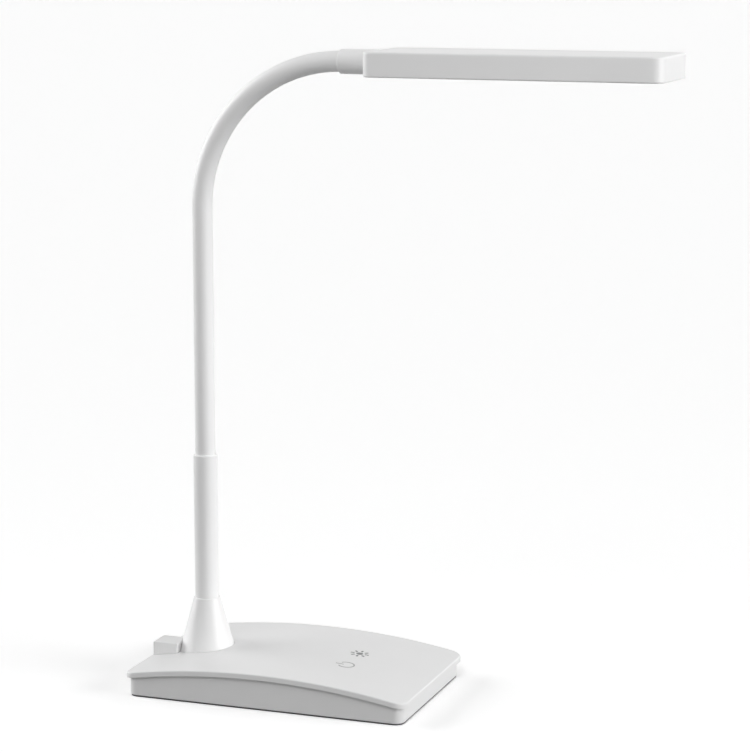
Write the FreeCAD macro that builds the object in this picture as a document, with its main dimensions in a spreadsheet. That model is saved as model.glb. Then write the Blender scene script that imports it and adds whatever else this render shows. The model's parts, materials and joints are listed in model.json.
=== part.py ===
import FreeCAD, Part

import math
import os

import Sketcher
from FreeCAD import Vector

# Desk lamp with a weighted base, a flexible arm and a flat light head.
# Frame: X runs from the arm's foot towards the light, Y runs across the base, Z is up.
# The origin is the centre of the base's underside, on the surface the lamp stands on.

SIZES = {
    # base outline
    "base_length": (174, "length of the lid, along X"),
    "base_width": (110, "width of the lid, along Y"),
    "rear_edge_height": (14, "top of the lid at its rear edge"),
    "front_edge_height": (13, "top of the lid at its front edge"),
    "crown_height": (21.8, "top of the lid halfway along"),
    "lip_thickness": (3.2, "thickness of the arched lid, seen as a lip"),
    "lip_overhang": (2.2, "how far the lip stands out past the skirt"),
    "lip_edge_radius": (0.8, "rounding of the lid's upper edge"),
    "plan_corner_radius": (8, "corner radius of the lid seen from above"),
    "skirt_wall": (3.2, "wall of the skirt under the lid"),
    "skirt_clearance": (0.4, "gap between the skirt and the table"),
    "fit_gap": (0.3, "gap between a plate and the walls round it"),
    # layers of the base, from the table up
    "mat_thickness": (1.2, "anti-slip mat"),
    "mat_inset": (3, "how far the mat's edge lies inside the tray's"),
    "mat_corner_radius": (5, "corner radius of the mat"),
    "tray_thickness": (2, "floor of the base"),
    "standoff_height": (2, "standoffs that carry the ballast"),
    "standoff_radius": (4, "radius of a standoff"),
    "ballast_thickness": (5, "steel ballast plate"),
    "ballast_end_inset": (17, "ballast from each end of the lid"),
    "ballast_side_inset": (11, "ballast from each side of the lid"),
    "ballast_corner_radius": (6, "corner radius of the ballast"),
    "ballast_screw_inset": (6, "ballast screw from the ballast's edges"),
    "ballast_hole_play": (0.35, "gap round a ballast screw in the ballast"),
    "ballast_screw_radius": (1.4, "shank of a ballast screw"),
    "ballast_screw_length": (8, "shank length of a ballast screw"),
    "ballast_head_radius": (2.9, "head of a ballast screw"),
    "ballast_head_height": (2, "head height of a ballast screw"),
    "cover_screw_inset": (12, "cover screw from the lid's edges"),
    "cover_boss_radius": (3.6, "boss for a cover screw"),
    "cover_screw_radius": (1.4, "shank of a cover screw"),
    "cover_screw_length": (9, "whole length of a cover screw"),
    "cover_head_radius": (2.8, "countersunk head of a cover screw"),
    "cover_head_height": (1.3, "height of that head"),
    "screw_play": (0.05, "radial play of a screw in its pilot hole"),
    "pilot_extra": (0.8, "how much deeper a pilot hole is than its screw"),
    # foot of the arm
    "post_setback": (30.5, "arm's axis from the lid's rear edge"),
    "post_boss_height": (5.6, "boss under the lid, between ballast and collar"),
    "post_boss_radius": (19, "radius of that boss"),
    "collar_play": (0.2, "gap round the collar in its recess"),
    "collar_base_radius": (17, "collar where it stands in its recess"),
    "collar_top_wall": (0.6, "wall of the collar at its top, round the sleeve"),
    "collar_height": (33.6, "height of the collar from its recess"),
    "collar_edge_radius": (0.4, "rounding of the collar's top edge"),
    "collar_wall": (2.2, "wall of the collar"),
    "collar_neck": (7, "depth of the collar's bore round the sleeve"),
    "collar_step": (0.65, "step from that bore to the hollow below it"),
    "sleeve_wall": (0.75, "wall of the rigid sleeve and of the ferrule"),
    "sleeve_bore_play": (0.4, "gap between the arm's skin and that bore"),
    "sleeve_length": (117.2, "length of the rigid sleeve"),
    "sleeve_lip_length": (3, "turned-in lip at the sleeve's top"),
    "sleeve_edge_radius": (0.6, "rounding of the sleeve's top edge"),
    "sleeve_play": (0.1, "gap between the sleeve and the collar"),
    "stud_radius": (5, "threaded part of the stud"),
    "stud_bore_radius": (3.2, "bore of the stud, for the lead"),
    "stud_flange_rim": (0.85, "how far the stud's flange stands out past the sleeve"),
    "stud_flange_thickness": (3, "thickness of that flange"),
    "stud_socket_play": (0.2, "gap between the stud's socket and the sleeve"),
    "stud_socket_length": (50, "length of the socket above the flange"),
    "stud_socket_depth": (22, "how deep the arm's core sits in the socket"),
    "stud_hole_play": (0.2, "gap round the stud in the ballast and boss"),
    "washer_rim": (4, "lock washer, from the stud to its outside"),
    "washer_thickness": (0.8, "lock washer"),
    "nut_height": (3, "nut under the ballast"),
    "nut_rim": (3.1, "nut, from the stud to its corners"),
    "nut_pocket_play": (1, "gap round the washer in the ballast's counterbore"),
    "nut_pocket_depth": (2, "depth of the counterbore"),
    "lead_slot_width": (4.4, "slot through which the lead leaves the stud"),
    "lead_slot_roof": (0.4, "material between that slot and the flange"),
    # electronics of the base
    "key_setback": (50, "touch keys from the lid's front edge"),
    "board_length": (44, "touch board along X"),
    "board_width": (56, "touch board along Y"),
    "board_thickness": (1.6, "touch board"),
    "board_gap": (1.8, "gap between the ballast and the touch board"),
    "board_screw_x": (18, "board screw from the board's middle, along X"),
    "board_screw_y": (23, "board screw from the board's middle, along Y"),
    "board_boss_radius": (2.6, "boss for a board screw"),
    "board_screw_radius": (0.95, "shank of a board screw"),
    "board_screw_length": (4.4, "shank length of a board screw"),
    "board_head_radius": (1.8, "head of a board screw"),
    "board_head_height": (1.2, "head height of a board screw"),
    "key_spread": (13.2, "touch key from the board's middle, along Y"),
    "key_radius": (4, "conductive foam under a touch key"),
    "key_gap": (0.5, "gap between that foam and the lid"),
    "chip_size": (4.4, "square chip on the touch board"),
    "chip_height": (1.4, "height of that chip"),
    "coil_size": (6, "square coil on the touch board"),
    "coil_height": (2.2, "height of that coil"),
    "small_part_length": (3.2, "small part on the touch board, along X"),
    "small_part_width": (1.8, "small part on the touch board, along Y"),
    "small_part_height": (1, "height of that small part"),
    "part_pitch": (8, "spacing of the parts on the touch board"),
    "plug_length": (4.5, "plug at the end of a lead, along X"),
    "plug_width": (8, "plug at the end of a lead, along Y"),
    "header_length": (5, "header that holds the plug, along X"),
    "header_height": (2.4, "header that holds the plug, along Z"),
    # charging port on the lid
    "port_inset": (1.7, "port housing from the lid's rear edge"),
    "port_length": (16, "port housing along X"),
    "port_width": (15.6, "port housing along Y"),
    "port_y": (-7.8, "middle of the port housing, along Y"),
    "port_height": (10.2, "height of the port housing"),
    "port_pocket_depth": (1.4, "how deep the housing sits below the rear edge"),
    "port_floor_thickness": (2, "lid material under the housing"),
    "port_edge_radius": (0.8, "rounding of the housing's edges"),
    "port_play": (0.15, "gap round the housing in its pocket"),
    "shell_width": (13.1, "metal shell of the port, along Y"),
    "shell_height": (5.7, "metal shell of the port, along Z"),
    "shell_depth": (10.8, "metal shell of the port, along X"),
    "shell_wall": (0.35, "sheet of that shell"),
    "shell_play": (0.1, "gap round the shell in the housing"),
    "shell_lift": (1.9, "housing floor under the shell"),
    "tongue_width": (11.1, "contact tongue, along Y"),
    "tongue_thickness": (1.84, "contact tongue, along Z"),
    "tongue_length": (8.2, "contact tongue, along X"),
    "tongue_root": (1.8, "block that carries the tongue, along X"),
    # power inlet in the rear of the skirt
    "inlet_y": (22, "power socket, along Y"),
    "inlet_length": (11.4, "power socket, along X"),
    "inlet_width": (9, "power socket, along Y"),
    "inlet_height": (8.2, "power socket, along Z"),
    "inlet_collar_radius": (4, "round front of the socket in the skirt"),
    "inlet_bore_radius": (2.75, "bore for the plug"),
    "inlet_bore_depth": (9.5, "depth of that bore"),
    "inlet_pin_radius": (1.05, "centre pin"),
    "inlet_pin_recess": (0.8, "how far the pin stays behind the mouth"),
    "inlet_play": (0.15, "gap round the socket's front"),
    "power_lead_radius": (1.2, "lead from the socket to the board"),
    # flexible arm
    "arm_radius": (6, "outside of the arm's skin"),
    "skin_wall": (1, "wall of the arm's skin"),
    "core_play": (0.5, "gap between the core and the skin"),
    "core_wall": (2.1, "wall of the arm's core"),
    "lead_radius": (1.6, "lead inside the arm"),
    "lead_turn_radius": (3.2, "turn of the lead inside the stud"),
    "core_gap": (2.4, "gap between two core links, for bending"),
    "skin_tuck": (4, "how far the skin runs on inside its end fittings"),
    "straight_length": (146, "straight run of the arm above the sleeve"),
    "bend_radius": (86, "radius of the arm's bend"),
    "bend_angle": (90, "angle of the arm's bend"),
    # head
    "ferrule_length": (22.5, "ferrule between the arm and the head"),
    "ferrule_mouth_play": (0.15, "gap between the skin and the ferrule's mouth"),
    "ferrule_edge_radius": (0.7, "rounding of the ferrule's front edge"),
    "anchor_barrel_play": (0.15, "gap between the anchor's barrel and the ferrule"),
    "anchor_play": (0.05, "gap between the core and its sockets"),
    "anchor_setback": (4.6, "anchor's barrel from the ferrule's mouth"),
    "anchor_socket_depth": (12, "how deep the core sits in the anchor"),
    "anchor_neck_wall": (2.6, "anchor's wall where it passes the head's wall"),
    "anchor_block_length": (12, "anchor's block inside the head, along X"),
    "anchor_block_width": (18, "anchor's block, along Y"),
    "anchor_ear_reach": (8, "how far an ear stands out of the block"),
    "anchor_ear_length": (8, "ear along X"),
    "anchor_ear_thickness": (2, "ear along Z"),
    "anchor_ear_height": (4.4, "underside of the ears above the head's underside"),
    "anchor_screw_radius": (1.2, "shank of an anchor screw"),
    "anchor_screw_length": (6.4, "shank length of an anchor screw"),
    "anchor_head_radius": (2, "head of an anchor screw"),
    "anchor_head_height": (1.3, "head height of an anchor screw"),
    "anchor_boss_radius": (2.8, "boss for an anchor screw"),
    "head_length": (170, "light head along X"),
    "head_width": (60, "light head along Y"),
    "head_thickness": (14, "light head along Z"),
    "head_wall": (2, "walls of the head's shell"),
    "head_front_radius": (8, "vertical corners at the head's front"),
    "head_rear_radius": (5.5, "vertical corners at the head's rear"),
    "head_edge_radius": (1.2, "rounding of the head's upper edges"),
    "bezel_recess": (0.4, "bezel's face inside the shell's lower edge"),
    "bezel_thickness": (1.8, "bezel round the diffuser"),
    "bezel_play": (0.2, "gap round the bezel"),
    "panel_start": (20, "rear edge of the diffuser from the head's rear"),
    "panel_front_gap": (12, "front edge of the diffuser from the head's front"),
    "panel_side_gap": (4, "side edge of the diffuser from the head's side"),
    "panel_thickness": (1.8, "diffuser"),
    "panel_border": (2.5, "edge of the diffuser hidden by the bezel"),
    "frame_wall": (1.6, "wall of the reflector frame"),
    "led_board_inset": (1, "edge of the light board inside the frame's"),
    "led_board_thickness": (1.2, "light board"),
    "spreader_thickness": (1, "heat spreader above the light board"),
    "spreader_inset": (1.5, "edge of the heat spreader inside the frame's"),
    "led_length": (3.5, "light source along X"),
    "led_width": (2.8, "light source along Y"),
    "led_height": (0.8, "light source"),
    "led_row_spread": (12, "row of light sources from the middle"),
    "led_margin": (10, "first light source from the board's edge"),
    "head_screw_rear_gap": (9, "rear bezel screws from the diffuser's rear edge"),
    "head_screw_front_gap": (5.5, "front bezel screws from the diffuser's front edge"),
    "head_screw_side_gap": (7.5, "bezel screws from the head's side"),
    "head_boss_radius": (2.6, "boss for a bezel screw"),
    "head_screw_radius": (1, "shank of a bezel screw"),
    "head_screw_length": (6, "whole length of a bezel screw"),
    "head_screw_head_radius": (1.9, "head of a bezel screw"),
    "head_screw_head_height": (0.9, "head height of a bezel screw"),
}

RUN_JOINTS = 4      # joints in the straight run, and again in the bend
LED_COUNT = 14      # light sources in one row
LED_ROWS = 2

doc = FreeCAD.newDocument("desk_lamp")
sheet = doc.addObject("Spreadsheet::Sheet", "Sizes")
pieces = []         # objects that become STEP files, one per node


def size(alias):
    """Return the plain number behind an alias of the sheet."""
    return SIZES[alias][0]


def fill_sheet():
    """Write every driving dimension into the sheet, with its alias and a note."""
    for row, (alias, (value, note)) in enumerate(SIZES.items(), start=1):
        sheet.set(f"A{row}", note)
        sheet.set(f"B{row}", str(value))
        sheet.setAlias(f"B{row}", alias)
    doc.recompute()


# Heights and places that several pieces share, as formulas on the sheet.

HALF_LENGTH = "Sizes.base_length / 2"
HALF_WIDTH = "Sizes.base_width / 2"
SKIRT_INSET = "(Sizes.lip_overhang + Sizes.skirt_wall)"
TRAY_INSET = f"({SKIRT_INSET} + Sizes.fit_gap)"
TRAY_BOTTOM = "Sizes.mat_thickness"
TRAY_TOP = f"({TRAY_BOTTOM} + Sizes.tray_thickness)"
BALLAST_BOTTOM = f"({TRAY_TOP} + Sizes.standoff_height)"
BALLAST_TOP = f"({BALLAST_BOTTOM} + Sizes.ballast_thickness)"
NUT_SEAT = f"({BALLAST_BOTTOM} + Sizes.nut_pocket_depth)"
COLLAR_SEAT = f"({BALLAST_TOP} + Sizes.post_boss_height)"
BALLAST_LENGTH = "(Sizes.base_length - 2 * Sizes.ballast_end_inset)"
BALLAST_WIDTH = "(Sizes.base_width - 2 * Sizes.ballast_side_inset)"
POST_X = f"(Sizes.post_setback - {HALF_LENGTH})"
FLANGE_TOP = f"({COLLAR_SEAT} + Sizes.stud_flange_thickness)"
SLEEVE_TOP = f"({FLANGE_TOP} + Sizes.sleeve_length)"
BEND_START = f"({SLEEVE_TOP} + Sizes.straight_length)"
BEND_X = f"({POST_X} + Sizes.bend_radius)"
ARM_TOP = f"({BEND_START} + Sizes.bend_radius)"
BOARD_BOTTOM = f"({BALLAST_TOP} + Sizes.board_gap)"
BOARD_TOP = f"({BOARD_BOTTOM} + Sizes.board_thickness)"
BOARD_X = f"({HALF_LENGTH} - Sizes.key_setback)"
BOARD_REAR = f"({BOARD_X} - Sizes.board_length / 2)"
LEAD_HEIGHT = f"({COLLAR_SEAT} - Sizes.lead_slot_width / 2 - Sizes.lead_slot_roof)"
PLUG_HEIGHT = "(Sizes.lead_radius * 2 + Sizes.fit_gap * 2)"
PORT_FLOOR = "(Sizes.rear_edge_height - Sizes.port_pocket_depth)"
PORT_REAR = f"(Sizes.port_inset - {HALF_LENGTH})"
SHELL_BOTTOM = f"({PORT_FLOOR} + Sizes.shell_lift)"
INLET_FACE = f"({SKIRT_INSET} - {HALF_LENGTH})"
INLET_HEIGHT = f"({TRAY_TOP} + Sizes.inlet_height / 2)"
HEAD_X = f"({BEND_X} + Sizes.ferrule_length)"
HEAD_BOTTOM = f"({ARM_TOP} - Sizes.head_thickness / 2)"

# The lid's arch is a circle through its two edges and its crown.

REAR_DROP = "(Sizes.crown_height - Sizes.rear_edge_height)"
FRONT_DROP = "(Sizes.crown_height - Sizes.front_edge_height)"
ARCH_DEPTH = (f"((2 * ({HALF_LENGTH}) ^ 2 + {REAR_DROP} ^ 2 + {FRONT_DROP} ^ 2)"
              f" / (2 * ({REAR_DROP} + {FRONT_DROP})))")
ARCH_X = (f"((2 * {REAR_DROP} * {ARCH_DEPTH} - ({HALF_LENGTH}) ^ 2 - {REAR_DROP} ^ 2)"
          f" / (2 * {HALF_LENGTH}))")

# Radii of the arm and of what holds it, from the skin's outside inwards and outwards.

SKIN_BORE = "(Sizes.arm_radius - Sizes.skin_wall)"
CORE_RADIUS = f"({SKIN_BORE} - Sizes.core_play)"
CORE_BORE = f"({CORE_RADIUS} - Sizes.core_wall)"
SOCKET_RADIUS = f"({CORE_RADIUS} + Sizes.anchor_play)"
SLEEVE_BORE = "(Sizes.arm_radius + Sizes.sleeve_bore_play)"
SLEEVE_RADIUS = f"({SLEEVE_BORE} + Sizes.sleeve_wall)"
COLLAR_TOP = f"({SLEEVE_RADIUS} + Sizes.sleeve_play + Sizes.collar_top_wall)"
ANCHOR_NECK = f"({CORE_BORE} + Sizes.anchor_neck_wall)"

# Links of the arm: their spacing, and how far a core link ends before its pivot.

RUN_STEP = f"(Sizes.straight_length / {RUN_JOINTS})"
BEND_STEP = f"(Sizes.bend_angle / {RUN_JOINTS})"
CORE_END = "(Sizes.core_gap / 2)"
CORE_END_ANGLE = f"({CORE_END} / Sizes.bend_radius * 180 / pi)"

# Heights inside the head, from its underside.

HEAD_AXIS = "(Sizes.head_thickness / 2)"
BEZEL_TOP = "(Sizes.bezel_recess + Sizes.bezel_thickness)"
PANEL_TOP = f"({BEZEL_TOP} + Sizes.panel_thickness)"
HEAD_CEILING = "(Sizes.head_thickness - Sizes.head_wall)"
LED_BOARD_TOP = f"({HEAD_CEILING} - Sizes.spreader_thickness)"
FRAME_TOP = f"({LED_BOARD_TOP} - Sizes.led_board_thickness)"
FRAME_HEIGHT = f"({FRAME_TOP} - {PANEL_TOP})"
PANEL_END = "(Sizes.head_length - Sizes.panel_front_gap)"
PANEL_SIDE = "(Sizes.head_width / 2 - Sizes.panel_side_gap)"
ANCHOR_SCREW_Y = "(Sizes.anchor_block_width / 2 + Sizes.anchor_ear_reach / 2)"
HEAD_SCREWS_X = ("(Sizes.panel_start - Sizes.head_screw_rear_gap)",
                 f"({PANEL_END} + Sizes.head_screw_front_gap)")


# Shared ways of making a piece.

def move(thing, x="0", y="0", z="0", turn="0"):
    """Bind a placement: a shift, and a turn about the Y direction in degrees."""
    thing.setExpression(
        "Placement", f"placement(vector({x}; {y}; {z}); rotation(vector(0; 1; 0); {turn}))")


def node(thing, label):
    """Give a finished piece its label and note it for the hand-over."""
    thing.Label = label
    pieces.append(thing)
    return thing


def new_body(name):
    """Start a body that will hold the features of one piece."""
    return doc.addObject("PartDesign::Body", name)


def sketch_on(body, name, role="XY_Plane", offset="0"):
    """Add a sketch to a body's own plane, lifted along that plane's normal."""
    sketch = body.newObject("Sketcher::SketchObject", name)
    base_plane = [item for item in body.Origin.OriginFeatures if item.Role == role][0]
    sketch.AttachmentSupport = [(base_plane, "")]
    sketch.MapMode = "FlatFace"
    sketch.setExpression("AttachmentOffset.Base.z", offset)
    return sketch


def constrain(sketch, constraint, formula):
    """Add a dimension to a sketch and bind it to a formula."""
    index = sketch.addConstraint(constraint)
    name = f"size_{index}"
    sketch.renameConstraint(index, name)
    sketch.setExpression(f"Constraints.{name}", formula)


def fix_point(sketch, geometry, point, x, y):
    """Place one point of a sketch by two formulas."""
    at = sketch.getPoint(geometry, point)
    constrain(sketch, Sketcher.Constraint("DistanceX", -1, 1, geometry, point, at.x), x)
    constrain(sketch, Sketcher.Constraint("DistanceY", -1, 1, geometry, point, at.y), y)


def circle(sketch, x, y, radius):
    """Draw a circle whose centre and radius are formulas."""
    index = sketch.addGeometry(Part.Circle(Vector(1, 1, 0), Vector(0, 0, 1), 1.0))
    fix_point(sketch, index, 3, x, y)
    constrain(sketch, Sketcher.Constraint("Radius", index, 1.0), radius)


def outline(sketch, corners):
    """Draw a closed outline of straight lines through corners given as formulas."""
    count = len(corners)
    step = 2 * math.pi / count
    ring = [Vector(math.cos(step * i), math.sin(step * i), 0) for i in range(count)]
    first = sketch.GeometryCount
    for i in range(count):
        sketch.addGeometry(Part.LineSegment(ring[i], ring[(i + 1) % count]))
    for i in range(count):
        following = first + (i + 1) % count
        sketch.addConstraint(Sketcher.Constraint("Coincident", first + i, 2, following, 1))
    for i, (x, y) in enumerate(corners):
        fix_point(sketch, first + i, 1, x, y)


def rectangle(sketch, x_low, x_high, y_low, y_high):
    """Draw a rectangle from the formulas of its four sides."""
    outline(sketch, [(x_low, y_low), (x_high, y_low), (x_high, y_high), (x_low, y_high)])


def centred(sketch, length, width):
    """Draw a rectangle about the sketch's origin."""
    rectangle(sketch, f"-({length}) / 2", f"({length}) / 2", f"-({width}) / 2", f"({width}) / 2")


def feature(body, kind, name, sketch=None):
    """Add a feature to a body and hand it its sketch."""
    item = body.newObject(f"PartDesign::{kind}", name)
    if sketch is not None:
        item.Profile = sketch
        sketch.Visibility = False
    return item


def check_change(body, item, before, adds):
    """Recompute, and stop where a feature added or removed nothing."""
    doc.recompute()
    if item.Shape.isNull():
        raise RuntimeError(f"{item.Name} has no shape")
    change = item.Shape.Volume - before
    if (change <= 0) if adds else (change >= 0):
        raise RuntimeError(f"{item.Name} changed the volume of {body.Name} by {change:.3f}")


def volume_of(body):
    """Return a body's volume so far, or nothing for a new one."""
    return 0.0 if body.Tip is None or body.Tip.Shape.isNull() else body.Tip.Shape.Volume


def pad(body, name, sketch, length, downwards=False, both_ways=False):
    """Grow a sketch into a solid along its normal."""
    before = volume_of(body)
    item = feature(body, "Pad", name, sketch)
    item.setExpression("Length", length)
    item.Reversed = downwards
    item.Midplane = both_ways
    check_change(body, item, before, True)
    return item


def pad_to(body, name, sketch, support, face):
    """Grow a sketch up to a face of an earlier feature."""
    before = volume_of(body)
    item = feature(body, "Pad", name, sketch)
    item.Type = "UpToFace"
    item.UpToFace = (support, [face])
    check_change(body, item, before, True)
    return item


def pocket(body, name, sketch, depth, upwards=False, both_ways=False):
    """Cut a sketch out of a solid, against its normal or along it."""
    before = volume_of(body)
    item = feature(body, "Pocket", name, sketch)
    item.setExpression("Length", depth)
    item.Reversed = upwards
    item.Midplane = both_ways
    check_change(body, item, before, False)
    return item


def turned(body, name, corners, role="XZ_Plane"):
    """Turn an outline of radius and height about the body's Z direction."""
    sketch = sketch_on(body, f"{name}_outline", role)
    outline(sketch, corners)
    item = feature(body, "Revolution", name, sketch)
    item.ReferenceAxis = (sketch, ["V_Axis"])
    item.Angle = 360
    check_change(body, item, 0.0, True)
    return item


def edges_where(shape, wanted):
    """Name the edges of a shape that a test accepts."""
    return [f"Edge{i}" for i, edge in enumerate(shape.Edges, start=1) if wanted(edge)]


def is_upright(edge):
    """Tell whether an edge is a straight line along Z."""
    ends = edge.Vertexes
    if len(ends) != 2 or edge.Curve.TypeId != "Part::GeomLine":
        return False
    across = ends[1].Point - ends[0].Point
    return abs(across.x) < 1e-6 and abs(across.y) < 1e-6


def round_edges(body, name, radius, wanted):
    """Round the edges that a test accepts."""
    base = body.Tip
    item = body.newObject("PartDesign::Fillet", name)
    item.Base = (base, edges_where(base.Shape, wanted))
    item.setExpression("Radius", radius)
    doc.recompute()
    if not item.Base[1] or item.Shape.isNull():
        raise RuntimeError(f"{item.Name} rounded nothing")
    return item


def outer_rim(body, at_top):
    """Return a test for the widest round edge at a turned piece's top or bottom."""
    box = body.Tip.Shape.BoundBox
    level = box.ZMax if at_top else box.ZMin
    rims = [edge.BoundBox.XLength for edge in body.Tip.Shape.Edges
            if abs(edge.BoundBox.ZMin - level) < 1e-4 and edge.BoundBox.ZLength < 1e-4]

    def wanted(edge):
        ring = edge.BoundBox
        return (abs(ring.ZMin - level) < 1e-4 and ring.ZLength < 1e-4
                and ring.XLength > max(rims) - 1e-4)
    return wanted


def uprights(base_feature, side=lambda point: True):
    """Return a test for the upright edges that a feature has just made."""
    earlier = base_feature.Shape.Edges if base_feature is not None else []
    known = {tuple(round(v, 3) for v in edge.CenterOfMass) for edge in earlier}

    def wanted(edge):
        middle = edge.CenterOfMass
        return (is_upright(edge) and side(middle)
                and tuple(round(v, 3) for v in middle) not in known)
    return wanted


def plate(name, length, width, thickness, corner_radius):
    """Make a plate about the origin with rounded corners; its underside is at Z zero."""
    body = new_body(name)
    sketch = sketch_on(body, f"{name}_plan")
    centred(sketch, length, width)
    pad(body, f"{name}_slab", sketch, thickness)
    round_edges(body, f"{name}_corners", corner_radius, is_upright)
    return body


def four_corners(x, y):
    """Return the four places that mirror one place about both axes."""
    return [(f"{a}({x})", f"{b}({y})") for a in ("", "-") for b in ("", "-")]


def circles_on(body, name, places, radius, offset="0"):
    """Add a sketch with the same circle at several places."""
    sketch = sketch_on(body, name, offset=offset)
    for x, y in places:
        circle(sketch, x, y, radius)
    return sketch


def rod(name, radius, length, x="0", y="0", z="0"):
    """Make an upright cylinder."""
    item = doc.addObject("Part::Cylinder", name)
    item.setExpression("Radius", radius)
    item.setExpression("Height", length)
    move(item, x, y, z)
    return item


def block(name, length, width, height, x="0", y="0", z="0"):
    """Make a box from its lowest corner."""
    item = doc.addObject("Part::Box", name)
    item.setExpression("Length", length)
    item.setExpression("Width", width)
    item.setExpression("Height", height)
    move(item, x, y, z)
    return item


def joined(name, base, tool):
    """Fuse two solids into one."""
    item = doc.addObject("Part::Fuse", name)
    item.Base = base
    item.Tool = tool
    item.Refine = True
    return item


def cut(name, base, tool):
    """Cut one solid out of another."""
    item = doc.addObject("Part::Cut", name)
    item.Base = base
    item.Tool = tool
    item.Refine = True
    return item


def group(label, members):
    """Gather like solids that share one node."""
    item = doc.addObject("Part::Compound", label)
    item.Links = members
    return node(item, label)


def screw_up(name, place, under_head, shank, length, head, head_height):
    """Make a pan-head screw whose shank points up from the face under its head."""
    x, y = place
    body = rod(f"{name}_shank", shank, length, x, y, under_head)
    cap = rod(f"{name}_head", head, head_height, x, y, f"({under_head}) - {head_height}")
    return joined(name, body, cap)


def screw_down(name, place, under_head, shank, length, head, head_height):
    """Make a pan-head screw whose shank points down from the face under its head."""
    x, y = place
    body = rod(f"{name}_shank", shank, length, x, y, f"({under_head}) - {length}")
    cap = rod(f"{name}_head", head, head_height, x, y, under_head)
    return joined(name, body, cap)


def cover_screw_places():
    """Return the four screw places that hold the lid to its floor."""
    return four_corners(f"{HALF_LENGTH} - Sizes.cover_screw_inset",
                        f"{HALF_WIDTH} - Sizes.cover_screw_inset")


def ballast_screw_places():
    """Return the four screw places of the ballast."""
    return four_corners(f"{BALLAST_LENGTH} / 2 - Sizes.ballast_screw_inset",
                        f"{BALLAST_WIDTH} / 2 - Sizes.ballast_screw_inset")


def board_screw_places():
    """Return the four screw places of the touch board."""
    return [(f"{BOARD_X} {a} Sizes.board_screw_x", f"{b}Sizes.board_screw_y")
            for a in ("+", "-") for b in ("", "-")]


def lid_top(x):
    """Return the formula of the lid's height over a place along X."""
    return (f"(Sizes.crown_height - {ARCH_DEPTH}"
            f" + sqrt({ARCH_DEPTH} ^ 2 + {ARCH_X} ^ 2 - ({x} - {ARCH_X}) ^ 2))")


# Lid of the base.

def arch(sketch, drop):
    """Draw the lid's arch from rear to front edge, lowered by a formula.

    The arch is the circle through the two edge heights and the crown.
    """
    half = size("base_length") / 2
    low = size("lip_thickness") if drop != "0" else 0
    front = Vector(half, size("front_edge_height") - low, 0)
    rear = Vector(-half, size("rear_edge_height") - low, 0)
    crown = Vector(0, size("crown_height") - low, 0)
    index = sketch.addGeometry(Part.Arc(front, crown, rear))
    fix_point(sketch, index, 1, HALF_LENGTH, f"Sizes.front_edge_height - {drop}")
    fix_point(sketch, index, 2, f"-{HALF_LENGTH}", f"Sizes.rear_edge_height - {drop}")
    mark = sketch.addGeometry(Part.Point(crown), True)
    fix_point(sketch, mark, 1, "0", f"Sizes.crown_height - {drop}")
    sketch.addConstraint(Sketcher.Constraint("PointOnObject", mark, 1, index))
    return index


def lid_underside(body):
    """Name the largest downward face of the lid's arch in a body's latest shape."""
    best = None
    for i, face in enumerate(body.Tip.Shape.Faces, start=1):
        if face.Surface.TypeId != "Part::GeomCylinder" or face.Surface.Radius < size("base_length"):
            continue
        low, high, left, right = face.ParameterRange
        if face.normalAt((low + high) / 2, (left + right) / 2).z < 0:
            if best is None or face.Area > best[0]:
                best = (face.Area, f"Face{i}")
    return best[1]


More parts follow.
